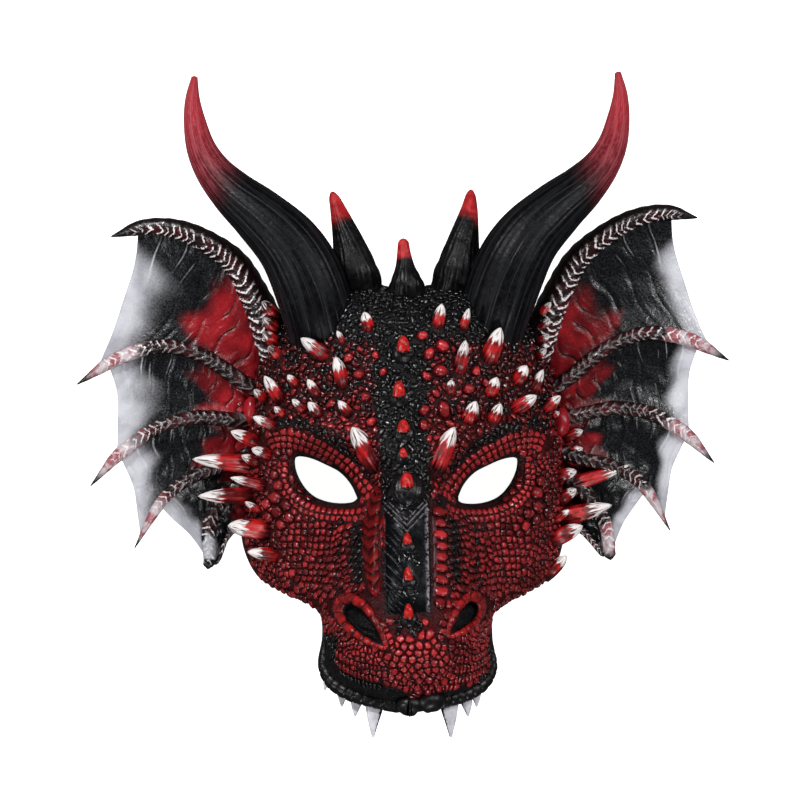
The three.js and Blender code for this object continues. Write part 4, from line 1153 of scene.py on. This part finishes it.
# Crown spikes. Two stand between the horns and a short one stands on the crest between them, all
# poured with the face, grooved like the horns and dipped red at the tips.
CROWN_SPIKE = [
    (24, 50, 30, 13), (26, 64, 38, 11.8), (29.3, 80, 38, 8), (33, 95, 35, 4.6), (35.6, 106.5, 31, 2),
]
CREST_SPIKE = [
    (0, 44, 36, 10.5), (-0.6, 58, 43, 8.8), (-1.4, 67, 43, 5), (-2, 74, 42.5, 3.5), (-2.4, 81.5, 42, 2.6),
]
CROWN_ROWS, CROWN_COLUMNS, CROWN_LEAN = 80, 96, 2.8
CROWN_GROOVES, CREST_GROOVES, CROWN_GROOVE_DEPTH, CROWN_TIP = 21, 17, 0.1, 0.1
share, turn = np.linspace(0, 1, CROWN_ROWS), turns(CROWN_COLUMNS)
parts = []
for rows, grooves, side, askew, lean in (
    (CROWN_SPIKE, CROWN_GROOVES, -1, CROWN_ASKEW, CROWN_LEAN),
    (CROWN_SPIKE, CROWN_GROOVES, 1, CROWN_ASKEW, CROWN_LEAN),
    (CREST_SPIKE, CREST_GROOVES, 1, 0, 0),
):
    line, radius = rod(rows, share)
    down = share[:, None]
    knots = np.sin(34 * down + 1.5 * np.sin(3 * turn)) * np.sin(4 * turn + 6 * down)
    radius = radius * grooved(down, turn, grooves, CROWN_GROOVE_DEPTH, 0.15, 0.95)
    radius *= 1 + 0.035 * knots * fade(down, 0.6, 0.2)
    radius *= np.sqrt(1 - np.clip((down - 1 + CROWN_TIP) / CROWN_TIP, 0, 1) ** 2)
    rings = placed(swept(line, radius), side, askew)
    rings[..., 0] -= lean * down**2
    parts.append(round_part(rings, {"along": down}, side))
crown = mesh_piece("crown_spikes", *joined(parts))

paint = Paint("crown_paint", Roughness=0.4, Specular_IOR_Level=0.18)
cloud, streak = paint.noise(90, 3), paint.noise(220, 3, distortion=1)
dipped = paint.plus(paint.mark("along"), paint.swing(cloud, 0.2))
black = paint.mixed(paint.fade(streak, 0.35, 0.7), (0.0015, 0.0015, 0.002), (0.006, 0.006, 0.007))
red = paint.mixed(paint.fade(streak, 0.35, 0.75), (0.34, 0.012, 0.016), (0.55, 0.04, 0.04))
colour = paint.mixed(paint.fade(dipped, 0.62, 0.74), black, red)
crown.data.materials.append(paint.finish(colour, (streak, 0.32, 0.46), paint.pored(streak, 0.4, 1300)))
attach(crown, "root")
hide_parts("mask")

# Ear webs. The real ones are thin foam skins poured between the ribs, creased across like a bat's wing,
# sprayed from crimson at the root through black to a silver margin. Pale lines along the wrinkles are painted
# highlights, a soft silver patch in the middle of each web is also a painted sheen, and the darkening by the
# ribs and at the root is painted shade.
# Ribs from the top: radius at the root and the claw, then points from root to tip
RIBS = [
    ((9.5, 3.8),
     [(64, 18, 18), (75, 48, 25), (87, 70, 25), (107, 85.5, 23), (130, 92.5, 18), (151.6, 88.8, 12)]),
    ((4.2, 3.4),
     [(74, 4, 18), (84, 10, 22), (106.6, 25.8, 22), (126, 30.5, 19), (147, 26, 14), (169, 13.8, 8)]),
    ((4, 3.4),
     [(76, -10, 16), (88, -9.5, 20), (108, -7, 20), (127, -11, 17), (144.6, -21.7, 12), (161.7, -39, 7)]),
    ((3.8, 3), [(78, -26, 14), (90, -31.4, 17), (109.6, -37.9, 17), (123.9, -48.2, 13), (138.9, -72.7, 6)]),
    ((4.5, 3), [(79, -40, 12), (90, -47, 15), (98, -56, 14), (104.4, -67, 11), (108, -86, 6)]),
    ((2, 1.2), [(78, -60, 12), (86, -65, 11), (94, -71, 9), (104.5, -84, 6)]),
]
WEB_THICK, WEB_SAG, WEB_SCALLOP = 2.4, 3, 0.045
WEB_ROWS, WEB_COLUMNS = 140, 30
# Each web: how far along its two ribs it reaches, number of creases, where along it the red ends and how much
# further in its hollow, strength of the silver patch that is also a painted sheen
WEBS = [
    ((0.885, 0.89), 14, 0.58, 0.04, 0.2), ((0.82, 0.8), 16, 0.5, 0.03, 0.24),
    ((0.78, 0.92), 14, 0.45, 0, 0.15), ((0.68, 0.95), 10, 0.4, 0, 0.1), ((0.95, 0.95), 8, 0.4, 0, 0.1),
]

fine_share = np.linspace(0, 1, 401)
rib_lines = [even_curve(line, fine_share) for _, line in RIBS]


def on_rib(index, share):
    """Points of a rib's middle line at shares of its length."""
    return np.stack([np.interp(share, fine_share, rib_lines[index][:, k]) for k in range(3)], -1)


along, step = np.linspace(0, 1, WEB_ROWS + 1)[:, None], np.linspace(0, 1, WEB_COLUMNS + 1)
hollow = 4 * step * (1 - step)
sheets, fields = [], []
for first, (ends, creases, red_end, red_hollow, sheen_patch) in enumerate(WEBS):
    ragged = (1 - WEB_SCALLOP * hollow - 0.006 * np.sin(9 * step + 5 * first) * hollow) * along
    a, b = (on_rib(first + k, ends[k] * ragged) for k in (0, 1))
    points = a + (b - a) * step[:, None]
    wobble = 0.25 * np.sin(3.3 * step + 2.1 * first) + 0.22 * np.sin(11 * step + 9 * along + first)
    place = creases * along**1.2 + wobble - 0.3 * hollow
    number = np.round(place)
    strength = fade(along, 0.03, 0.15) * fade(along, 1, 0.97) * fade(hollow, 0.02, 0.3)
    strength = strength * fade(np.sin(2.7 * number + 4.2 * step + first), -0.4, 0.4)
    strength *= 0.3 + 0.7 * fade(along, 0.7, 0.5)
    crease = (1 - np.minimum(np.abs(place - number) * 8, 1)) ** 1.5 * strength
    points[..., 2] -= WEB_SAG * hollow + 0.8 * crease + 0.2 * np.cos(2 * np.pi * place) * strength
    points[..., 2] += 0.3 * np.sin(17 * step + 9 * along) * np.sin(23 * along + 5 * first) * hollow
    uneven = 0.05 * np.sin(7 * step + 3 * first) + 0.04 * np.sin(15 * step + 11 * along)
    # The upper web is redder and less silver close to the thick rib
    near_top = (first == 0) * np.stack([0.26 * fade(step, 0.5, 0.05), 0.08 * fade(step, 0.5, 0.1)])
    hanging = fade(step, 0.5, 0.2) * fade(along, 0.45, 0.65) * fade(along, 0.97, 0.9)
    # Pale lines along the crests of the wrinkles near the margin: painted highlights
    wrinkle_highlight = bell(place - number - 0.2, 0.07) * fade(strength, 0.02, 0.3) * hanging
    near_rib = (bell(step, 0.13) + bell(1 - step, 0.1)) * fade(along, 0.9, 0.5)
    marks = {
        "white_and_sheen": along + 0.5 * uneven - near_top[0],
        # The next two marks are painted light: highlights along the wrinkles, and a soft silver patch in each
        # web that is also a painted sheen
        "bright": 0.6 * wrinkle_highlight,
        "sheen_patch": sheen_patch * bell(along - 0.68, 0.13) * bell(step - 0.6, 0.28),
        "red": (red_end - along - uneven + near_top[1] + red_hollow * hollow) / 0.2,
        "crease": crease,
        "shade": np.clip(near_rib + 0.8 * fade(along, 0.12, 0.02), 0, 1),
    }
    last = WEB_COLUMNS + (first == len(WEBS) - 1)
    sheets.append(points[:, :last])
    fields.append({name: values[:, :last] for name, values in marks.items()})
sheet = np.concatenate(sheets, 1)
marks = {name: np.tile(np.concatenate([field[name] for field in fields], 1).ravel(), 2) for name in fields[0]}
count = sheet[..., 0].size
faces = np.concatenate(thickened(grid_faces(np.arange(count).reshape(sheet.shape[:2])), count))
corners = np.concatenate([sheet, sheet - [0, 0, WEB_THICK]]).reshape(-1, 3)

paint = Paint("web_paint", Roughness=0.36, Specular_IOR_Level=0.3)
cloud, speck = paint.noise(60, 5, distortion=0.4), paint.noise(1100, 2)
red = paint.mixed(paint.fade(cloud, 0.35, 0.7), (0.12, 0.003, 0.006), (0.36, 0.01, 0.016))
red = paint.mixed(paint.mark("shade"), red, (0.02, 0.002, 0.004))
black = paint.mixed(paint.fade(speck, 0.4, 0.65), (0.002, 0.0022, 0.003), (0.006, 0.007, 0.009))
reddened = paint.fade(paint.plus(paint.mark("red"), paint.swing(cloud, 0.25)), 0.1, 0.8)
# The silver margin, with the painted wrinkle highlights and the painted sheen patch added to it
silvered_and_sheen = paint.plus(paint.mark("white_and_sheen"), paint.swing(speck, 0.18), paint.swing(cloud, 0.1))
silver_and_sheen = paint.mixed(paint.fade(cloud, 0.35, 0.65), (0.42, 0.42, 0.47), (0.62, 0.62, 0.67))
colour = paint.mixed(paint.fade(silvered_and_sheen, 0.17, 1.0), paint.mixed(reddened, black, red), silver_and_sheen)
colour = paint.mixed(paint.fade(paint.mark("crease"), 0.15, 0.7), colour, (0.006, 0.004, 0.005))
normal = paint.bump(paint.noise(750, 3), 0.14, paint.bump(paint.noise(200, 3), 0.4))
web_paint = paint.finish(colour, (speck, 0.22, 0.4), normal)
# Each ear: where its silver starts and is full, strength of its silver patches, which are also a painted
# sheen, how much less red it is
for side, name, silver_at, patches, less_red in (
    (-1, "left", (0.64, 1), 1, 0.1), (1, "right", (0.76, 0.97), 0.3, 0.35),
):
    white_and_sheen = fade(marks["white_and_sheen"], *silver_at) + marks["bright"] + patches * marks["sheen_patch"]
    sprayed = {
        "white_and_sheen": np.clip(white_and_sheen, 0, 1), "red": np.clip(marks["red"] - less_red, 0, 1),
        "crease": marks["crease"], "shade": marks["shade"],
    }
    points = placed(corners, side, EAR_ASKEW, EAR_SLANT)
    web = mesh_piece(name + "_ear_webs", points, faces[:, ::side], sprayed)
    web.data.materials.append(web_paint)
    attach(web, "root")
    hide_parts("mask")

# Ear ribs. Each is a foam rod poured in one with the webs, plated along its top like a crab's leg.
# It is dark maroon with the plates' edges picked out in white, paler towards a claw with a black tip.
RIB_COLUMNS, RIB_STEP, PLATE_HIGH = 28, 0.6, 0.26
# Each rib: pitch of its plates, how far round their row is turned and how wide it spreads, paleness
RIB_PLATES = [
    (4.3, -0.5, 0.75, 0), (4.6, 0, 1.1, 1), (4.4, 0, 1.1, 1), (4.2, 0, 1.2, 1), (4.2, 0, 1.2, 1),
    (3.4, 0, 1.3, 0.4),
]
STEEL_CLAW = 4  # on the left ear the fifth rib's claw is grey where the others are pink
turn = turns(RIB_COLUMNS)
parts = []
for side in (-1, 1):
    for index, ((root, thin), _) in enumerate(RIBS):
        pitch, lean, spread, paleness = RIB_PLATES[index]
        claw = min(WEBS[max(index - 1, 0)][0][index > 0], WEBS[min(index, len(WEBS) - 1)][0][0])
        length = length_along(rib_lines[index])[-1]
        share = np.linspace(0, 1, int(length / RIB_STEP))[:, None]
        stations = [0, claw / 2, claw, (1 + claw) / 2, 1]
        sizes = [root, (root + thin) / 2, thin, thin * 0.6, thin * 0.08]
        core = through(np.column_stack([stations, sizes]), share)
        from_top = (turn - math.pi / 2 + lean + math.pi) % (2 * math.pi) - math.pi
        off = np.abs(from_top) / spread
        run = share * length
        waver = 0.2 * np.sin(run / 2.1 + 2 * index) * np.sin(2 * turn)
        waver = 0.3 * np.sin(run / 4.7 + index + side) + waver
        chain = run / pitch + waver - 0.75 * off - 0.25 * (from_top > 0) * off
        plated = fade(off, 1.05, 0.85) * fade(share, claw + 0.08, claw - 0.02)
        plate = (chain % 1) ** 1.5 * fade(chain % 1, 1, 0.9)
        lumpy = 0.05 * np.sin(run / 1.9 + 3 * turn + index) * np.sin(2 * turn + run / 3.1)
        reach = core * (1 + PLATE_HIGH * (plate - 0.3) * plated + lumpy * fade(share, 1, 0.9))
        rings = placed(swept(on_rib(index, share[:, 0]), reach), side, EAR_ASKEW, EAR_SLANT)
        parts.append(round_part(rings, {
            "chain": chain, "plated": plated, "pale": paleness * (0.15 + 0.85 * fade(share, 0.5, 0.8)),
            "drawn": 0.12 + 0.7 * fade(share, 0.4, 0.65) if index else 1, "tip": fade(share, 0.87, 0.96),
            "steel": index == STEEL_CLAW and side < 0,
        }, side))
ribs = mesh_piece("ear_ribs", *joined(parts))

paint = Paint("rib_paint", Roughness=0.34, Specular_IOR_Level=0.5)
plated_mark, speck, cloud = paint.mark("plated"), paint.noise(600, 3), paint.noise(130, 4)
plate = paint.math("FRACT", paint.plus(paint.mark("chain"), paint.swing(speck, 0.55)), None)
red = paint.mixed(paint.fade(cloud, 0.4, 0.75), (0.012, 0.001, 0.002), (0.075, 0.003, 0.006))
red = paint.mixed(paint.times(plated_mark, paint.fade(plate, 0.95, 0.1)), (0.006, 0.0015, 0.002), red)
pink = paint.mixed(paint.fade(cloud, 0.45, 0.6), (0.6, 0.52, 0.55), (0.36, 0.1, 0.12))
steel = paint.mixed(paint.fade(cloud, 0.46, 0.54), (0.5, 0.51, 0.55), (0.012, 0.011, 0.012))
pink = paint.mixed(paint.mark("steel"), pink, steel)
paled = paint.fade(paint.plus(paint.mark("pale"), paint.swing(cloud, 0.9)), 0.35, 0.75)
line = paint.times(paint.fade(plate, 0.68, 0.76), paint.fade(plate, 0.98, 0.92), plated_mark)
drawn = paint.times(paint.mark("drawn"), paint.fade(speck, 0.38, 0.46), paint.fade(cloud, 0.34, 0.42))
colour = paint.mixed(paint.times(line, drawn), paint.mixed(paled, red, pink), (0.95, 0.88, 0.89))
colour = paint.mixed(paint.mark("tip"), colour, (0.008, 0.007, 0.008))
normal = paint.pored(paint.noise(300, 2), 0.4, 1300)
ribs.data.materials.append(paint.finish(colour, (speck, 0.24, 0.42), normal))
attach(ribs, "root")
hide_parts("mask")

# Spikes of the brow, temples and cheeks. The real ones are blunt foam bullets poured with the face,
# crimson with facets, their tips dry-brushed white so that it runs down in streaks.
SPIKE_ROWS, SPIKE_COLUMNS, SPIKE_FACETS = 22, 24, 7
SPIKE_ROOT, SPIKE_ROOT_DROP = 0.3, 5  # share of the length that is sunk in the face, and how far down
SPIKE_FLAT, SLIM_TAPER = 0.9, 0.34
random = np.random.default_rng(5)
foot, tip, half_width = SPIKES[:, :3], SPIKES[:, 3:6], SPIKES[:, 6] / 2
share, turn = np.linspace(-SPIKE_ROOT, 1, SPIKE_ROWS), turns(SPIKE_COLUMNS)
line = foot[:, None] + (tip - foot)[:, None] * share[:, None]
line[..., 2] -= SPIKE_ROOT_DROP * fade(share, 0.25, -SPIKE_ROOT)
share = share[:, None]
above = np.clip(share, 0, 1)
slim = fade(np.linalg.norm(tip - foot, axis=1) / half_width, 4.5, 8)[:, None, None]
start = random.uniform(0, 6.3, len(SPIKES))[:, None, None]
tone = random.random(len(SPIKES))[:, None, None]
facet = np.abs(np.sin(SPIKE_FACETS * (turn + start) / 2 + 0.15 * np.sin(6 * share)))
reach = half_width[:, None, None] * 1.12 * (1 - above**2.8) ** 0.62 * (1 - SLIM_TAPER * slim * above)
reach = reach * (0.86 + 0.2 * facet * fade(share, 1, 0.75))
leaf = 0.12 * ((foot[:, 0] < -55) & (foot[:, 1] > 20))[:, None, None]
corners, faces, marks = round_part(
    swept(line, reach, SPIKE_FLAT), {"along": share, "ridge": facet, "tone": tone, "leaf": leaf}
)
# Streaks follow the spike: the noise is read on a round rod, and each spike reads another length
rod_places = np.broadcast_arrays(3.4 * np.cos(turn) + 40 * tone, 3.4 * np.sin(turn), 2 * share)
marks["grain"] = np.stack(rod_places, -1).reshape(-1, 3)
spikes = mesh_piece("face_spikes", corners, faces, marks)

paint = Paint("spike_paint", Roughness=0.3, Specular_IOR_Level=0.5)
along_mark, ridge_mark, leaf_mark = paint.mark("along"), paint.mark("ridge"), paint.mark("leaf")
streak, cloud = paint.noise(1, 4, paint.mark("grain", "Vector"), 0.4), paint.noise(180, 2)
reached = paint.plus(
    along_mark, paint.swing(streak, 0.7), paint.times(ridge_mark, 0.14), paint.times(paint.mark("tone"), 0.12)
)
facets = paint.fade(paint.plus(cloud, paint.times(ridge_mark, 0.12)), 0.42, 0.72)
red = paint.mixed(facets, (0.1, 0.002, 0.003), (0.5, 0.01, 0.012))
foot_dark = paint.fade(paint.plus(along_mark, paint.swing(streak, 0.9)), 0.24, -0.02)
red = paint.mixed(foot_dark, red, (0.012, 0.002, 0.003))
veins = paint.fade(paint.plus(streak, leaf_mark), 0.57, 0.62)
white_and_sheen = paint.mixed(veins, (0.86, 0.8, 0.79), (0.05, 0.006, 0.008))
white_and_sheen = paint.mixed(leaf_mark, white_and_sheen, (0.12, 0.02, 0.03))
colour = paint.mixed(paint.fade(reached, 0.7, 0.78), red, white_and_sheen)
spikes.data.materials.append(paint.finish(colour, (streak, 0.22, 0.4), paint.pored(streak, 0.4, 1300)))
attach(spikes, "root")
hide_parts("mask")

# Teeth. Eight foam points hang from the upper lip, four a side, sprayed silver white, with black
# left at their roots and along their inner edges.
TEETH = [
    [(18.5, -145, 74, 4.8), (18.8, -153, 76, 4.3), (19.3, -167.4, 78, 0.5)],
    [(26.5, -141, 70, 3.8), (27.2, -149, 72, 3.3), (28, -157.3, 74, 0.4)],
    [(32.8, -137, 66, 3.6), (33.4, -145, 67, 3.1), (33.9, -153.2, 68, 0.4)],
    [(37, -132, 60, 2.6), (38.4, -139, 61, 2.2), (39.6, -145.5, 62, 0.4)],
]
# Each tooth's step to the right, from the middle outwards
TOOTH_SHIFT = {-1: (1.7, 1.6, 1.0, -1.7), 1: (1.7, 1.8, 0.6, -1.7)}
TOOTH_ROWS, TOOTH_COLUMNS, TOOTH_FLAT = 48, 28, 0.55
share, turn = np.linspace(0, 1, TOOTH_ROWS), turns(TOOTH_COLUMNS)
along = share[:, None]
parts = []
for number, rows in enumerate(TEETH):
    line, radius = rod(rows, share)
    rings = swept(line, radius * (1 + 0.05 * np.sin(3 * turn + 9 * along) * fade(along, 1, 0.6)), TOOTH_FLAT)
    for side in (-1, 1):
        points = placed(rings, side) + [TOOTH_SHIFT[side][number], 0, 0]
        parts.append(round_part(points, {"along": along, "inward": -np.cos(turn)}, side))
teeth = mesh_piece("teeth", *joined(parts))

paint = Paint("tooth_paint", Roughness=0.3, Specular_IOR_Level=0.5)
cloud, uneven = paint.noise(260, 2), paint.swing(paint.noise(500, 3), 0.5)
silver_and_sheen = paint.mixed(paint.fade(cloud, 0.3, 0.7), (0.56, 0.55, 0.61), (0.74, 0.73, 0.78))
edge = paint.fade(paint.plus(paint.mark("inward"), uneven), 0.68, 0.78)
root = paint.fade(paint.plus(paint.mark("along"), uneven), 0.36, 0.24)
colour = paint.mixed(paint.math("MAXIMUM", edge, root), silver_and_sheen, (0.006, 0.005, 0.006))
normal = paint.bump(cloud, 0.3, paint.bump(paint.noise(1200, 2), 0.08))
teeth.data.materials.append(paint.finish(colour, (cloud, 0.24, 0.38), normal))
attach(teeth, "root")
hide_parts("mask")

# Strap pads. A smooth oval boss stands on each temple, where a wearer's strap would be stapled on
# inside; poured with the face and painted plain crimson.
STRAP_PADS = [(-78.7, -6.2, 19.9), (80.6, -11.2, 22)]
PAD_SIZE = (4.2, 7.4, 5.6)  # half width, half height and half thickness
PAD_ROWS, PAD_COLUMNS = 26, 40
tip_over, turn = np.linspace(0, np.pi, PAD_ROWS)[:, None], turns(PAD_COLUMNS)
ball = np.stack(np.broadcast_arrays(
    np.sin(tip_over) * np.cos(turn), np.sin(tip_over) * np.sin(turn), -np.cos(tip_over)
), -1)
lumps = 1 + 0.03 * np.sin(3 * turn + 2) * np.sin(2 * tip_over) ** 2
rings = ball * lumps[..., None] * PAD_SIZE + np.array(STRAP_PADS)[:, None, None]
pads = mesh_piece("strap_pads", *round_part(rings, {}))

paint = Paint("pad_paint", Roughness=0.33)
cloud, grain = paint.noise(150, 3), paint.noise(900, 2)
colour = paint.mixed(paint.fade(cloud, 0.3, 0.7), (0.24, 0.006, 0.012), (0.4, 0.01, 0.02))
normal = paint.bump(grain, 0.04, paint.bump(cloud, 0.4))
pads.data.materials.append(paint.finish(colour, (grain, 0.27, 0.4), normal))
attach(pads, "root")
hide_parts("mask")

# Floor, light and camera. The photo shows the mask on a plain near-white ground under soft, even
# light, taken from straight above and a little to the left of its middle. All sizes are in metres.
VIEW_TARGET = (-0.0018, -0.0004, 0.0)
VIEW_DISTANCE, VIEW_SIDEWAYS, VIEW_ROLL = 1.6, math.radians(2.4), math.radians(0.3)
VIEW_LENS = 138.5
GROUND_SIZE, GROUND_GLOW, SKY_STRENGTH = 6, (1, 1, 0.985, 1), 0.08

bpy.ops.mesh.primitive_plane_add(size=GROUND_SIZE, location=(0, 0, 0))
floor = bpy.context.object
floor.name = "floor"
paint = Paint(
    "pale_ground", Roughness=0.95, Specular_IOR_Level=0.1, Emission_Color=GROUND_GLOW, Emission_Strength=1.0
)
floor.data.materials.append(paint.finish((0.8, 0.8, 0.79, 1)))
# The photo shows the mask cut out on white, so the ground neither lights it nor mirrors in it
floor.visible_diffuse = floor.visible_glossy = False

world = bpy.data.worlds.new("studio")
world.use_nodes = True
sky = world.node_tree.nodes["Background"].inputs
sky["Color"].default_value, sky["Strength"].default_value = (1, 1, 1, 1), SKY_STRENGTH
bpy.context.scene.world = world

# Lamps: place in metres, width, watts
LAMPS = {
    "key_lamp": ((-0.75, 0.95, 1.0), 0.16, 14),
    "side_lamp": ((1.1, 0.45, 0.95), 0.18, 8),
    "left_lamp": ((-1.15, -0.25, 0.9), 0.18, 5),
    "low_lamp": ((0.25, -1.2, 0.9), 0.3, 8),
    "top_lamp": ((0.3, 0.75, 1.35), 0.14, 5),
}
for name, (place, width, watts) in LAMPS.items():
    light = bpy.data.lights.new(name, "AREA")
    light.shape, light.size, light.energy = "DISK", width, watts
    lamp = bpy.data.objects.new(name, light)
    lamp.location = place
    lamp.rotation_euler = (-Vector(place)).to_track_quat("-Z", "Y").to_euler()
    bpy.context.scene.collection.objects.link(lamp)

lens = bpy.data.cameras.new("camera")
lens.lens = VIEW_LENS
camera = bpy.data.objects.new("camera", lens)
away = Vector((-math.sin(VIEW_SIDEWAYS), 0, math.cos(VIEW_SIDEWAYS)))
camera.matrix_world = (
    Matrix.Translation(Vector(VIEW_TARGET) + VIEW_DISTANCE * away)
    @ Matrix.Rotation(-VIEW_SIDEWAYS, 4, "Y")
    @ Matrix.Rotation(VIEW_ROLL, 4, "Z")
)
bpy.context.scene.collection.objects.link(camera)
bpy.context.scene.camera = camera
bpy.context.scene.view_settings.view_transform = "Standard"

bpy.context.view_layer.update()
